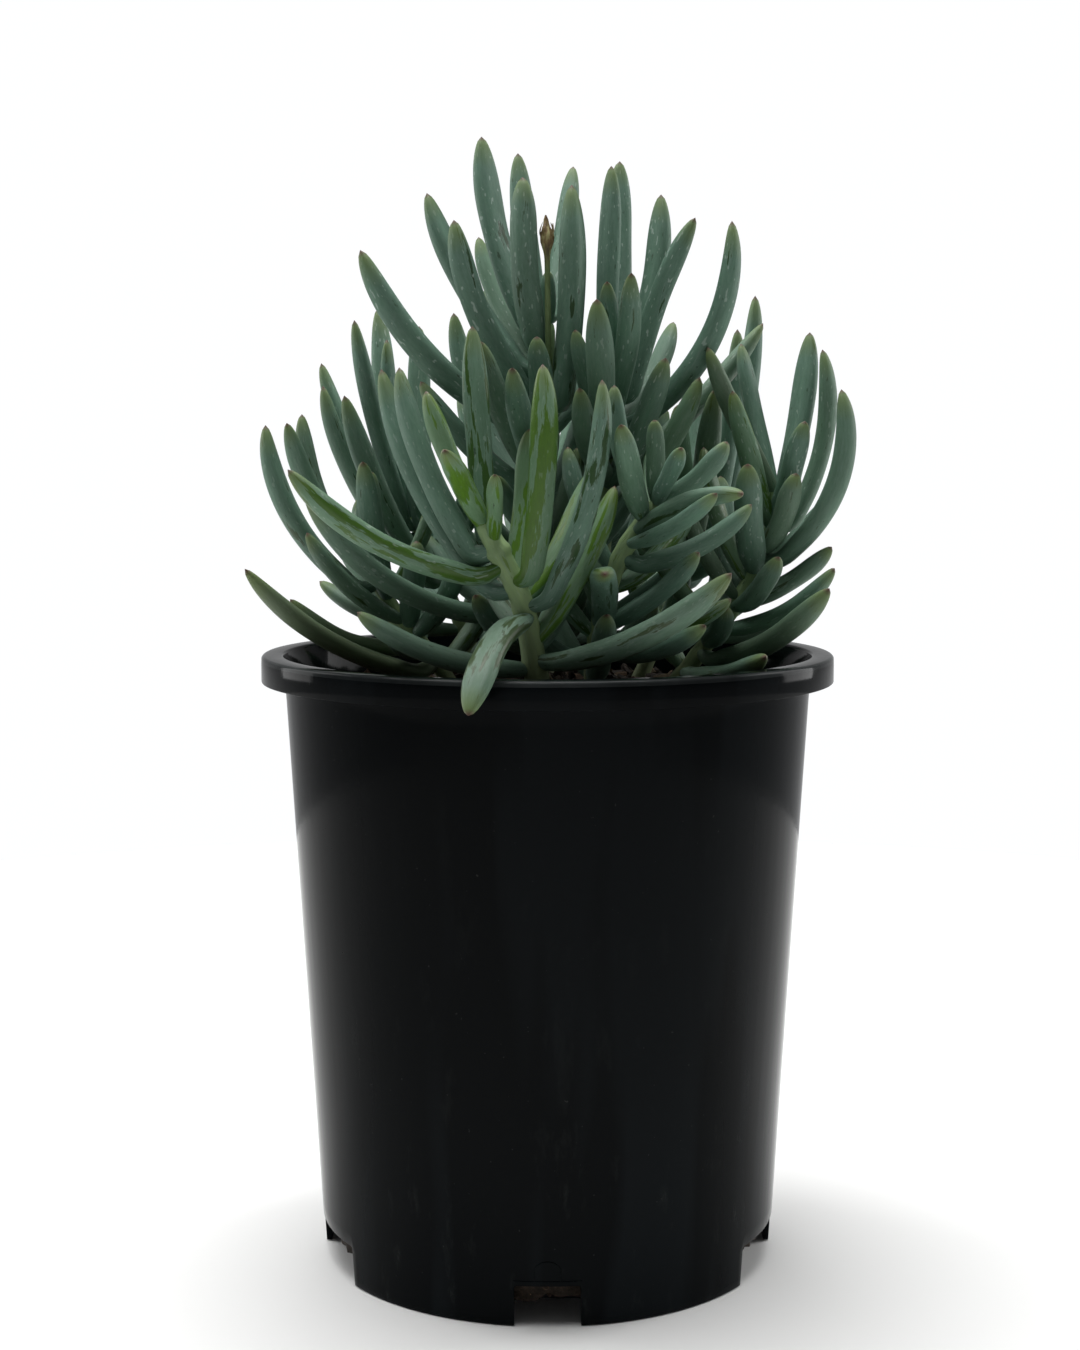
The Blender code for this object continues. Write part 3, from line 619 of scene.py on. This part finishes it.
def carried_frame(line, first_up):
    """At each point of a line, a side and an up direction that turn with it and never twist."""
    along = unit(np.gradient(line, axis=0))
    ups = []
    up = np.asarray(first_up, float)
    for direction in along:
        up = up - up.dot(direction) * direction
        if np.linalg.norm(up) < 1e-6:
            up = np.cross(direction, (1.0, 0.0, 0.0))
        up = up / np.linalg.norm(up)
        ups.append(up)
    ups = np.array(ups)
    return np.cross(along, ups), ups


def loft(line, sides, ups, across, high):
    """Points on rings round a line, and the faces that close them into one body.

    across and high give each ring point's offset along the side and the up direction."""
    rings, count = across.shape
    points = line[:, None, :] + across[..., None] * sides[:, None, :] + high[..., None] * ups[:, None, :]
    points = np.concatenate([points.reshape(-1, 3), line[:1], line[-1:]])
    foot, tip = rings * count, rings * count + 1
    faces = []
    for ring in range(rings - 1):
        low, up = ring * count, (ring + 1) * count
        for step in range(count):
            after = (step + 1) % count
            faces.append((low + step, low + after, up + after, up + step))
    last = (rings - 1) * count
    for step in range(count):
        after = (step + 1) % count
        faces.append((foot, after, step))
        faces.append((tip, last + step, last + after))
    return points, faces


def join_bodies(parts):
    """Several bodies' points and faces as one body's."""
    points, faces, start = [], [], 0
    for body, joins in parts:
        points.append(body)
        faces += [tuple(v + start for v in face) for face in joins]
        start += len(body)
    return np.concatenate(points), faces


def skin_coordinates(angle, share, line, shape):
    """Where each point of a loft lies on its skin: round it, and along its line in skin steps."""
    length = np.linalg.norm(np.diff(line, axis=0), axis=1).sum() / SKIN_STEP
    parts = [np.broadcast_to(part, shape) for part in (np.cos(angle), np.sin(angle), share * length)]
    rings = np.stack(parts, axis=-1).reshape(-1, 3)
    return np.concatenate([rings, rings[:1], rings[-1:]])


def waxy_bloom():
    """The effect that leaves and stems share: a chalky bloom over green, rubbed away in streaks.

    Skin is a coordinate that runs round and along the piece; Along is 0 at its foot and 1 at its tip."""
    group = bpy.data.node_groups.new("waxy_bloom", "ShaderNodeTree")
    face = group.interface
    for way, kind, names in (
        ("INPUT", "NodeSocketVector", ("Skin",)),
        ("INPUT", "NodeSocketFloat", ("Along", "Rubbed", "Vivid", "Dull", "Tint")),
        ("INPUT", "NodeSocketColor", ("Bloom", "Green", "Tip")),
        ("OUTPUT", "NodeSocketColor", ("Colour",)),
        ("OUTPUT", "NodeSocketFloat", ("Roughness", "Height")),
    ):
        for name in names:
            face.new_socket(name=name, in_out=way, socket_type=kind)
    given = group.nodes.new("NodeGroupInput").outputs
    result = group.nodes.new("NodeGroupOutput").inputs
    skin = given["Skin"]

    streaks = pattern(group, scaled_coordinates(group, skin, (1.15, 1.15, 0.17)), 1.0, 6.0, 0.58)
    edge = maths(group, "SUBTRACT", 0.72, maths(group, "MULTIPLY", given["Rubbed"], 0.27))
    worn = maths(group, "MULTIPLY", maths(group, "SUBTRACT", streaks, edge), 34.0, clamp=True)
    near = maths(group, "SUBTRACT", streaks, maths(group, "SUBTRACT", edge, 0.05))
    rim = maths(group, "MULTIPLY", near, 16.0, clamp=True)
    rim = maths(group, "MULTIPLY", rim, maths(group, "SUBTRACT", 1.0, worn))
    clouds = pattern(group, scaled_coordinates(group, skin, (0.9, 0.9, 0.22)), 1.0, 3.0)
    fine = pattern(group, scaled_coordinates(group, skin, (5.0, 5.0, 1.1)), 1.0, 4.0, 0.65)
    dots = pattern(group, scaled_coordinates(group, skin, (3.4, 3.4, 1.25)), 1.0, 1.0)
    flecks = maths(group, "MULTIPLY", ramp(group, dots, (0.66, 0.0), (0.70, 1.0)), given["Tint"])
    scars = pattern(group, scaled_coordinates(group, skin, (2.6, 2.6, 0.75)), 1.0, 3.0, 0.6)
    scars = ramp(group, scars, (0.28, 0.75), (0.33, 0.0))

    bloom = mix_colours(group, ramp(group, clouds, (0.30, 0.0), (0.72, 1.0)), given["Bloom"],
                        mix_colours(group, 0.50, given["Bloom"], (0.042, 0.085, 0.062)))
    bloom = mix_colours(group, ramp(group, fine, (0.35, 0.0), (0.75, 0.22)), bloom, (0.26, 0.35, 0.31))
    bloom = mix_colours(group, maths(group, "MULTIPLY", rim, 0.22), bloom, (0.30, 0.41, 0.37))
    green = mix_colours(group, given["Vivid"], given["Green"], (0.085, 0.190, 0.012))
    green = mix_colours(group, ramp(group, fine, (0.3, 0.0), (0.8, 0.45)), green, (0.030, 0.060, 0.020))
    fresh = maths(group, "MULTIPLY", given["Vivid"], 0.45)
    veiled = mix_colours(group, fresh, bloom, (0.130, 0.240, 0.070))
    colour = mix_colours(group, worn, veiled, green)
    colour = mix_colours(group, maths(group, "MULTIPLY", flecks, 0.6), colour, (0.40, 0.48, 0.43))
    colour = mix_colours(group, scars, colour, (0.020, 0.042, 0.018))
    olive = mix_colours(group, 0.62, colour, (0.115, 0.120, 0.038))
    dull = mix_colours(group, given["Dull"], colour, olive)
    near_tip = ramp(group, maths(group, "ADD", given["Along"], maths(group, "MULTIPLY", clouds, 0.06)),
                    (0.88, 0.0), (1.02, 0.75))
    tipped = mix_colours(group, near_tip, dull, given["Tip"])
    point = ramp(group, given["Along"], (0.972, 0.0), (0.994, 0.9))
    tipped = mix_colours(group, point, tipped, (0.075, 0.022, 0.020))
    group.links.new(tipped, result["Colour"])
    rough = maths(group, "SUBTRACT", 0.60, maths(group, "MULTIPLY", worn, 0.26))
    group.links.new(rough, result["Roughness"])
    height = maths(group, "ADD", maths(group, "MULTIPLY", fine, 0.7), maths(group, "MULTIPLY", clouds, 1.1))
    height = maths(group, "SUBTRACT", height, maths(group, "MULTIPLY", worn, 0.30))
    group.links.new(height, result["Height"])
    return group


BLOOM_EFFECT = waxy_bloom()


def read_value(tree, name, output="Fac"):
    """A value that the piece's mesh holds at each point."""
    node = tree.nodes.new("ShaderNodeAttribute")
    node.attribute_name = name
    return node.outputs[output]


def bloom_node(tree, bloom, green, tip):
    """The shared bloom effect with this material's own colours, reading the piece's own values."""
    node = tree.nodes.new("ShaderNodeGroup")
    node.node_tree = BLOOM_EFFECT
    tree.links.new(read_value(tree, "skin", "Vector"), node.inputs["Skin"])
    for label in ("along", "rubbed", "vivid", "dull", "tint"):
        tree.links.new(read_value(tree, label), node.inputs[label.capitalize()])
    for label, value in (("Bloom", bloom), ("Green", green), ("Tip", tip)):
        node.inputs[label].default_value = (*value, 1.0)
    return node


def stem_finish():
    """A young stem's pale green, turning brown and corky towards the mix."""
    made, tree, shader = new_material("stem_skin")
    skin = bloom_node(tree, (0.350, 0.490, 0.225), (0.240, 0.360, 0.110), (0.300, 0.430, 0.140))
    around = scaled_coordinates(tree, read_value(tree, "skin", "Vector"), (2.2, 2.2, 0.9))
    bark = pattern(tree, around, 1.0, 5.0, 0.7)
    brown = ramp(tree, bark, (0.3, (0.050, 0.038, 0.020)), (0.7, (0.130, 0.105, 0.060)))
    old = ramp(tree, read_value(tree, "along"), (0.06, 0.75), (0.42, 0.0))
    tree.links.new(mix_colours(tree, old, skin.outputs["Colour"], brown), shader.inputs["Base Color"])
    tree.links.new(maths(tree, "ADD", skin.outputs["Roughness"], maths(tree, "MULTIPLY", old, 0.15)),
                   shader.inputs["Roughness"])
    shader.inputs["Specular IOR Level"].default_value = 0.35
    height = maths(tree, "ADD", skin.outputs["Height"], maths(tree, "MULTIPLY", bark, 0.8))
    relief(tree, height, 0.35, 0.5 * MM, shader)
    return made


STEM_FINISH = stem_finish()
stem_lines = {}
stem_maker = np.random.default_rng(5)


def grow_stem(shoot, knots, lower, upper):
    """A stem along its line: swollen a little at each leaf scar, and rounded off at its growing tip."""
    line = smooth_line(np.array(knots) * MM, STEM_RINGS)
    stem_lines[shoot] = line
    share = np.linspace(0, 1, STEM_RINGS)
    radius = (lower + (upper - lower) * share) * MM
    for scar in stem_maker.uniform(0.12, 0.95, STEM_SCARS):
        radius *= 1 + 0.07 * np.exp(-(((share - scar) / 0.018) ** 2))
    radius *= np.where(share > 0.96, np.sqrt(np.clip(1 - ((share - 0.96) / 0.042) ** 2, 0.02, 1)), 1.0)
    sides, ups = carried_frame(line, (0.0, -1.0, 0.0))
    angle = np.linspace(0, 2 * math.pi, STEM_SIDES, endpoint=False)
    turn, up = angle[None, :], share[:, None]
    knobbly = 1 + 0.035 * np.sin(3 * turn + 9 * up) + 0.02 * np.sin(5 * turn - 23 * up)
    across = radius[:, None] * knobbly * np.cos(angle)
    high = radius[:, None] * knobbly * np.sin(angle)
    points, faces = loft(line, sides, ups, across, high)
    seed = stem_maker.uniform(0, 50)
    skin = skin_coordinates(angle, up, line, across.shape) + seed
    along = np.concatenate([np.repeat(share, STEM_SIDES), [0.0, 1.0]]) * 0.8
    level = np.ones(len(points))
    # The front stems are paler and fresher than the rest: partly their own younger green, partly painted
    # light that lifts them out of the shade they stand in.
    vivid = 0.55 if shoot.startswith("front") else 0.3
    piece = mesh_piece(f"{shoot}_stem", points, faces, skin=skin, along=along, rubbed=0.35 * level,
                       vivid=vivid * level, dull=0.15 * level, tint=0.2 * level)
    finish_piece(piece, STEM_FINISH, "stem", f"{shoot}_shoot")


for shoot, (knots, lower, upper) in STEMS.items():
    grow_stem(shoot, knots, lower, upper)


# --------------------------------------------------
# The leaves: firm, juicy fingers, a little flattened on the side that faces the stem, under a chalky
# bloom that rubs off to dark green. Each follows its own solid's bowed line, so it is lofted ring by
# ring along that line: no primitive can be bent and blunted so.
# --------------------------------------------------

LEAF_SIDES = 22
LEAF_RINGS = 46
GROWN_STATIONS = (1.0, 0.95, 0.84, 0.64, 0.4, 0.16, 0.0)
YOUNG_STATIONS = (1.0, 0.9, 0.62, 0.3)
CAGE_SIDES = 6
POINTED = 0.6
DOUBLED = 0.004 * MM
SHORTEST_LEAF = 5 * MM
ROOT_GAP = 1.2 * MM
FRESHEST_ABOVE = 205 * MM
FRESH_CHANCE = 0.24

# Which leaves stand out from the rest, and by how much: fresh yellow-green, dull olive, and rubbed.
VIVID_LEAVES = {"front_leaf_04": 0.75, "front_leaf_06": 0.55, "front_leaf_01": 0.30, "main_leaf_04": 0.3}
DULL_LEAVES = {"left_leaf_04": 0.85, "left_leaf_03": 0.75, "left_leaf_02": 0.25, "right_leaf_04": 0.45}
RUBBED_LEAVES = {"front_leaf_07": 0.62, "front_leaf_04": 0.9, "front_leaf_06": 0.85, "front_leaf_05": 0.6,
                 "front_leaf_01": 0.7, "front_leaf_08": 0.5, "main_leaf_03": 0.5, "left_leaf_01": 0.45}


def cage_of(node):
    """A node's points and which of them are joined, with its doubled points merged."""
    work = bmesh.new()
    work.from_mesh(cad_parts[node].data)
    bmesh.ops.remove_doubles(work, verts=work.verts, dist=DOUBLED)
    work.verts.ensure_lookup_table()
    points = np.array([v.co for v in work.verts])
    joined = [sorted(e.other_vert(v).index for e in v.link_edges) for v in work.verts]
    work.free()
    return points, joined


def walk_rings(points, joined, tip, most):
    """The rings of points from a leaf's tip towards its foot, as far as they stay whole."""
    seen = {tip}
    ring = [tip]
    rings = []
    while len(rings) < most:
        ring = sorted({n for v in ring for n in joined[v]} - seen)
        if len(ring) != CAGE_SIDES:
            break
        rings.append(points[ring])
        seen.update(ring)
    return rings


def leaf_shapes(node, stations):
    """Each leaf in a node: the three points of its bow, and half its greatest width."""
    points, joined = cage_of(node)
    found = []
    for tip, near in enumerate(joined):
        if len(near) != CAGE_SIDES:
            continue
        pull = unit(points[near] - points[tip]).mean(axis=0)
        if np.linalg.norm(pull) < POINTED:
            continue
        rings = walk_rings(points, joined, tip, len(stations) - 1)
        if len(rings) < 3:
            continue
        centres = [points[tip]] + [ring.mean(axis=0) for ring in rings]
        widths = [np.linalg.norm(ring - ring.mean(axis=0), axis=1).mean() for ring in rings]
        if widths[0] > widths[1] or np.linalg.norm(centres[-1] - centres[0]) < SHORTEST_LEAF:
            continue
        t = np.array(stations[: len(centres)])
        basis = np.stack([(1 - t) ** 2, 2 * t * (1 - t), t * t], axis=1)
        bow = np.linalg.lstsq(basis, np.array(centres), rcond=None)[0]
        found.append((bow, max(widths)))
    return found


def leaf_girth(t):
    """A leaf's width along its length: a narrow foot, an even middle, and a blunt point."""
    foot = 0.47 + 0.53 * np.clip(t / 0.36, 0, 1) ** 0.8 * (2 - np.clip(t / 0.36, 0, 1) ** 0.8)
    end = np.clip((t - 0.66) / 0.34, 0, 1)
    return foot * np.clip(1 - end**2.5, 0, 1) ** 0.60


def nearest_on(line, point):
    """The point of a line nearest to a given one."""
    return line[np.argmin(np.linalg.norm(line - point, axis=1))]


def leaf_body(bow, half, shoot, maker):
    """One leaf's points, faces and the values its skin is painted from."""
    t = np.linspace(0.03, 1, 9)
    path = (1 - t)[:, None] ** 2 * bow[0] + 2 * (t * (1 - t))[:, None] * bow[1] + (t * t)[:, None] * bow[2]
    root = nearest_on(stem_lines[shoot], bow[0])
    knots = [root, *path] if np.linalg.norm(root - path[0]) > ROOT_GAP else list(path)
    line = smooth_line(knots, LEAF_RINGS)
    share = np.linspace(0, 1, LEAF_RINGS) ** 0.93
    line = np.stack([np.interp(share, np.linspace(0, 1, LEAF_RINGS), line[:, k]) for k in range(3)], axis=1)
    chord = unit(line[-1] - line[0])
    up = np.array([0.0, 0.0, 1.0]) - chord[2] * chord
    if np.linalg.norm(up) < 0.15:
        up = nearest_on(stem_lines[shoot], line[LEAF_RINGS // 2]) - line[LEAF_RINGS // 2]
    sides, ups = carried_frame(line, unit(up))
    sway = maker.normal(0, 0.45 * MM) * np.sin(math.pi * share) * np.sin(maker.uniform(0, 6) + 4 * share)
    line = line + sway[:, None] * sides
    angle = np.linspace(0, 2 * math.pi, LEAF_SIDES, endpoint=False)[None, :]
    twist = maker.normal(0, 0.16) * share[:, None] + maker.normal(0, 0.12)
    girth = leaf_girth(share)
    girth *= 1 + 0.035 * np.sin(maker.uniform(0, 6) + 9 * share) * np.sin(math.pi * share)
    radius = half * girth[:, None]
    thick = maker.uniform(0.80, 0.95)
    flat = 1 - 0.20 * np.clip(np.sin(angle), 0, 1) ** 2
    groove = 0.085 * np.exp(-((np.cos(angle) / 0.30) ** 2)) * (np.sin(angle) > 0)
    groove = groove * np.sin(math.pi * share[:, None]) ** 0.5
    keel = 1 + 0.04 * np.clip(-np.sin(angle), 0, 1) ** 6
    across = radius * np.cos(angle) * 1.07
    high = radius * thick * (np.sin(angle) * flat * keel - groove)
    turned_across = across * np.cos(twist) - high * np.sin(twist)
    turned_high = across * np.sin(twist) + high * np.cos(twist)
    points, faces = loft(line, sides, ups, turned_across, turned_high)
    points[-1] += unit(line[-1] - line[-2]) * 0.5 * MM
    skin = skin_coordinates(angle, share[:, None], line, across.shape) + maker.uniform(0, 90, 3)
    along = np.concatenate([np.repeat(share, LEAF_SIDES), [0.0, 1.0]])
    return points, faces, skin, along


def leaf_values(node, index, bow, maker):
    """How rubbed, vivid, dull and flecked a leaf is: high leaves are chalkier, low ones older."""
    height = (bow[2][2] - MIX_TOP.z) / (cad_box[1].z - MIX_TOP.z)
    rubbed = RUBBED_LEAVES.get(node, 0.18 + 0.35 * maker.random() ** 2)
    vivid = VIVID_LEAVES.get(node, max(0.0, maker.normal(0.04, 0.06)))
    dull = DULL_LEAVES.get(node, max(0.0, 0.20 - 0.4 * height + maker.normal(0, 0.16)))
    flecked = np.clip(maker.normal(0.25 + 0.45 * height, 0.25), 0, 1)
    if node == "front_shoot" and bow[2][2] > FRESHEST_ABOVE:
        return 0.75, 0.95, 0.0, 0.1
    if index and maker.random() < FRESH_CHANCE:
        vivid = maker.uniform(0.3, 0.7)
        rubbed = maker.uniform(0.4, 0.8)
    return rubbed, vivid, dull, flecked


def leaf_finish():
    """The leaf's skin under its bloom, with an olive tip and a dark point."""
    made, tree, shader = new_material("leaf_skin")
    skin = bloom_node(tree, (0.098, 0.194, 0.134), (0.015, 0.050, 0.015), (0.120, 0.175, 0.045))
    tree.links.new(skin.outputs["Colour"], shader.inputs["Base Color"])
    tree.links.new(skin.outputs["Roughness"], shader.inputs["Roughness"])
    shader.inputs["Specular IOR Level"].default_value = 0.38
    relief(tree, skin.outputs["Height"], 0.28, 0.45 * MM, shader)
    return made


LEAF_FINISH = leaf_finish()
leaf_maker = np.random.default_rng(23)


def grow_leaves(name, node, shoot, stations, slot):
    """Every leaf of a node, as one piece."""
    parts, values = [], {k: [] for k in ("skin", "along", "rubbed", "vivid", "dull", "tint")}
    for index, (bow, half) in enumerate(leaf_shapes(node, stations)):
        body, joins, skin, along = leaf_body(bow, half, shoot, leaf_maker)
        painted = leaf_values(node, index, bow, leaf_maker)
        parts.append((body, joins))
        values["skin"].append(skin)
        values["along"].append(along)
        for label, value in zip(("rubbed", "vivid", "dull", "tint"), painted):
            values[label].append(np.full(len(body), value))
    if not parts:
        return
    joined = {k: np.concatenate(v) for k, v in values.items()}
    piece = mesh_piece(name, *join_bodies(parts), **joined)
    finish_piece(piece, LEAF_FINISH, slot, node)


for node in sorted(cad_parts):
    shoot = node.split("_leaf_")[0] if "_leaf_" in node else node.removesuffix("_shoot")
    if "_leaf_" in node:
        grow_leaves(f"{node}_skin", node, shoot, GROWN_STATIONS, "leaf")
    elif node.endswith("_shoot"):
        grow_leaves(f"{shoot}_young_leaves", node, shoot, YOUNG_STATIONS, "stem")


# --------------------------------------------------
# The spent flower: a thin green stalk that stood among the top leaves and dried. Its head is a small
# bundle of brown, papery bracts round a swollen base.
# --------------------------------------------------

FLOWER_LOW, FLOWER_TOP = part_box("spent_flower")
STALK_RINGS = 40
STALK_SIDES = 14
BRACTS = 9
BRACT_RINGS = 10
BRACT_SIDES = 8


def stalk_line():
    """The stalk's line, from the main stem up to the flower's head."""
    middle_x = (FLOWER_LOW.x + FLOWER_TOP.x) / 2
    middle_y = (FLOWER_LOW.y + FLOWER_TOP.y) / 2
    knots = [
        (0.3 * MM, -3.0 * MM, FLOWER_LOW.z - 8 * MM),
        (middle_x + 0.3 * MM, middle_y, FLOWER_LOW.z + 6 * MM),
        (middle_x, middle_y, FLOWER_TOP.z - 9 * MM),
        (middle_x - 0.3 * MM, middle_y, FLOWER_TOP.z - 1 * MM),
    ]
    return smooth_line(knots, STALK_RINGS)


def flower_finish():
    """Green stalk below, straw and brown above."""
    made, tree, shader = new_material("dried_flower")
    place = tree.nodes.new("ShaderNodeTexCoord").outputs["Object"]
    grain = pattern(tree, scaled_coordinates(tree, place, (900, 900, 260)), 1.0, 4.0)
    dry = ramp(tree, grain, (0.34, (0.070, 0.028, 0.014)), (0.50, (0.20, 0.14, 0.055)),
               (0.62, (0.34, 0.31, 0.14)))
    fresh = ramp(tree, grain, (0.3, (0.085, 0.130, 0.045)), (0.7, (0.150, 0.210, 0.085)))
    share = ramp(tree, read_value(tree, "along"), (0.68, 0.0), (0.84, 1.0))
    tree.links.new(mix_colours(tree, share, fresh, dry), shader.inputs["Base Color"])
    tree.links.new(ramp(tree, grain, (0.2, 0.6), (0.8, 0.9)), shader.inputs["Roughness"])
    relief(tree, grain, 0.5, 0.3 * MM, shader)
    return made


def make_flower():
    """The stalk with its swollen head, and the bracts that lie against it."""
    maker = np.random.default_rng(31)
    line = stalk_line()
    share = np.linspace(0, 1, len(line))
    radius = (0.85 - 0.2 * share) * MM + 1.15 * MM * np.exp(-(((share - 0.86) / 0.06) ** 2))
    radius *= np.where(share > 0.95, np.sqrt(np.clip(1 - ((share - 0.95) / 0.052) ** 2, 0.03, 1)), 1)
    angle = np.linspace(0, 2 * math.pi, STALK_SIDES, endpoint=False)[None, :]
    sides, ups = carried_frame(line, (0.0, -1.0, 0.0))
    ribbed = 1 + 0.06 * np.cos(5 * angle)
    wide = radius[:, None] * ribbed
    parts = [loft(line, sides, ups, wide * np.cos(angle), wide * np.sin(angle))]
    alongs = [np.concatenate([np.repeat(share, STALK_SIDES), [0, 1]])]
    head = line[int(0.80 * len(line))]
    for index in range(BRACTS):
        turn = 2.4 * index
        out = np.array([math.cos(turn), math.sin(turn), 0.0])
        foot = head + out * 1.1 * MM + np.array([0, 0, 0.25 * index * MM])
        reach = maker.uniform(3.6, 5.2) * MM
        middle = foot + out * 0.7 * MM + np.array([0, 0, 0.5 * reach])
        knots = [foot, middle, foot + out * maker.uniform(-0.4, 0.8) * MM + np.array([0, 0, reach])]
        blade = smooth_line(knots, BRACT_RINGS)
        width = 0.62 * MM * np.sin(np.linspace(0.35, 3.0, BRACT_RINGS)) ** 0.8
        blade_sides, blade_ups = carried_frame(blade, out)
        ring = np.linspace(0, 2 * math.pi, BRACT_SIDES, endpoint=False)[None, :]
        across, high = width[:, None] * np.cos(ring), width[:, None] * 0.28 * np.sin(ring)
        parts.append(loft(blade, blade_sides, blade_ups, across, high))
        alongs.append(np.full(BRACT_RINGS * BRACT_SIDES + 2, 0.95))
    piece = mesh_piece("dried_flower", *join_bodies(parts), along=np.concatenate(alongs))
    finish_piece(piece, flower_finish(), "dried_flower", "spent_flower")


make_flower()


# --------------------------------------------------
# The studio: a round pale table top in white surroundings, one broad soft light overhead, two tall
# soft lights beside and behind the pot, and a camera a little above the rim.
# --------------------------------------------------

CAMERA_BACK = 0.5716
CAMERA_HIGH = 0.2148
CAMERA_DOWN = math.radians(5.9)
CAMERA_LENS = 57.2
CAMERA_SHIFT = -0.0056
FLOOR_RADIUS = 0.62
FLOOR_SIDES = 128
SKY_FRONT = 0.05
SKY_BACK = 0.34
FLOOR_GLOW = 0.60


def make_floor():
    """The round pale table top, a hair under the pot's foot."""
    nothing_selected()
    bpy.ops.mesh.primitive_circle_add(vertices=FLOOR_SIDES, radius=FLOOR_RADIUS, fill_type="NGON",
                                      location=(0, 0, -0.2 * MM))
    floor = bpy.context.object
    floor.name = "floor"
    made, tree, shader = new_material("pale_floor")
    shader.inputs["Base Color"].default_value = (0.86, 0.86, 0.85, 1.0)
    shader.inputs["Roughness"].default_value = 0.9
    shader.inputs["Specular IOR Level"].default_value = 0.1
    floor.data.materials.append(made)


def soft_light(name, place, target, wide, high, power):
    """A rectangular soft light that faces a point."""
    data = bpy.data.lights.new(name, "AREA")
    data.shape = "RECTANGLE"
    data.size = wide
    data.size_y = high
    data.energy = power
    lamp = bpy.data.objects.new(name, data)
    lamp.location = place
    lamp.rotation_euler = (Vector(target) - Vector(place)).to_track_quat("-Z", "Y").to_euler()
    bpy.context.scene.collection.objects.link(lamp)


def make_sky():
    """Pale surroundings: white where the camera sees them; as a light, bright behind and dim in front."""
    world = bpy.data.worlds.new("surroundings")
    bpy.context.scene.world = world
    world.use_nodes = True
    tree = world.node_tree
    back = tree.nodes["Background"]
    back.inputs["Color"].default_value = (0.95, 0.96, 0.97, 1.0)
    way = tree.nodes.new("ShaderNodeTexCoord").outputs["Generated"]
    split = tree.nodes.new("ShaderNodeSeparateXYZ")
    tree.links.new(way, split.inputs[0])
    behind = tree.nodes.new("ShaderNodeMapRange")
    behind.inputs["From Min"].default_value = -0.75
    behind.inputs["From Max"].default_value = 0.45
    behind.inputs["To Min"].default_value = SKY_FRONT
    behind.inputs["To Max"].default_value = SKY_BACK
    tree.links.new(split.outputs["Y"], behind.inputs["Value"])
    ground = tree.nodes.new("ShaderNodeMapRange")
    ground.inputs["From Min"].default_value = -0.20
    ground.inputs["From Max"].default_value = 0.22
    ground.inputs["To Min"].default_value = FLOOR_GLOW
    tree.links.new(behind.outputs["Result"], ground.inputs["To Max"])
    tree.links.new(split.outputs["Z"], ground.inputs["Value"])
    path = tree.nodes.new("ShaderNodeLightPath")
    strength = tree.nodes.new("ShaderNodeMix")
    strength.inputs["B"].default_value = 1.05
    tree.links.new(ground.outputs["Result"], strength.inputs["A"])
    tree.links.new(path.outputs["Is Camera Ray"], strength.inputs["Factor"])
    tree.links.new(strength.outputs["Result"], back.inputs["Strength"])


make_floor()
make_sky()
soft_light("overhead", (-0.1, 0.10, 1.25), (0, 0, 0.15), 1.0, 1.0, 21)
soft_light("left_side", (-1.2, 0.55, 0.6), (0, 0, 0.15), 0.6, 1.3, 8)
soft_light("right_side", (1.2, 0.55, 0.6), (0, 0, 0.15), 0.6, 1.3, 10)

lens = bpy.data.cameras.new("camera")
lens.lens = CAMERA_LENS
lens.sensor_width = 36
lens.shift_x = CAMERA_SHIFT
camera = bpy.data.objects.new("camera", lens)
camera.location = (0.0, -CAMERA_BACK, CAMERA_HIGH)
camera.rotation_euler = (math.pi / 2 - CAMERA_DOWN, 0.0, 0.0)
bpy.context.scene.collection.objects.link(camera)
bpy.context.scene.camera = camera
bpy.context.scene.view_settings.view_transform = "Standard"
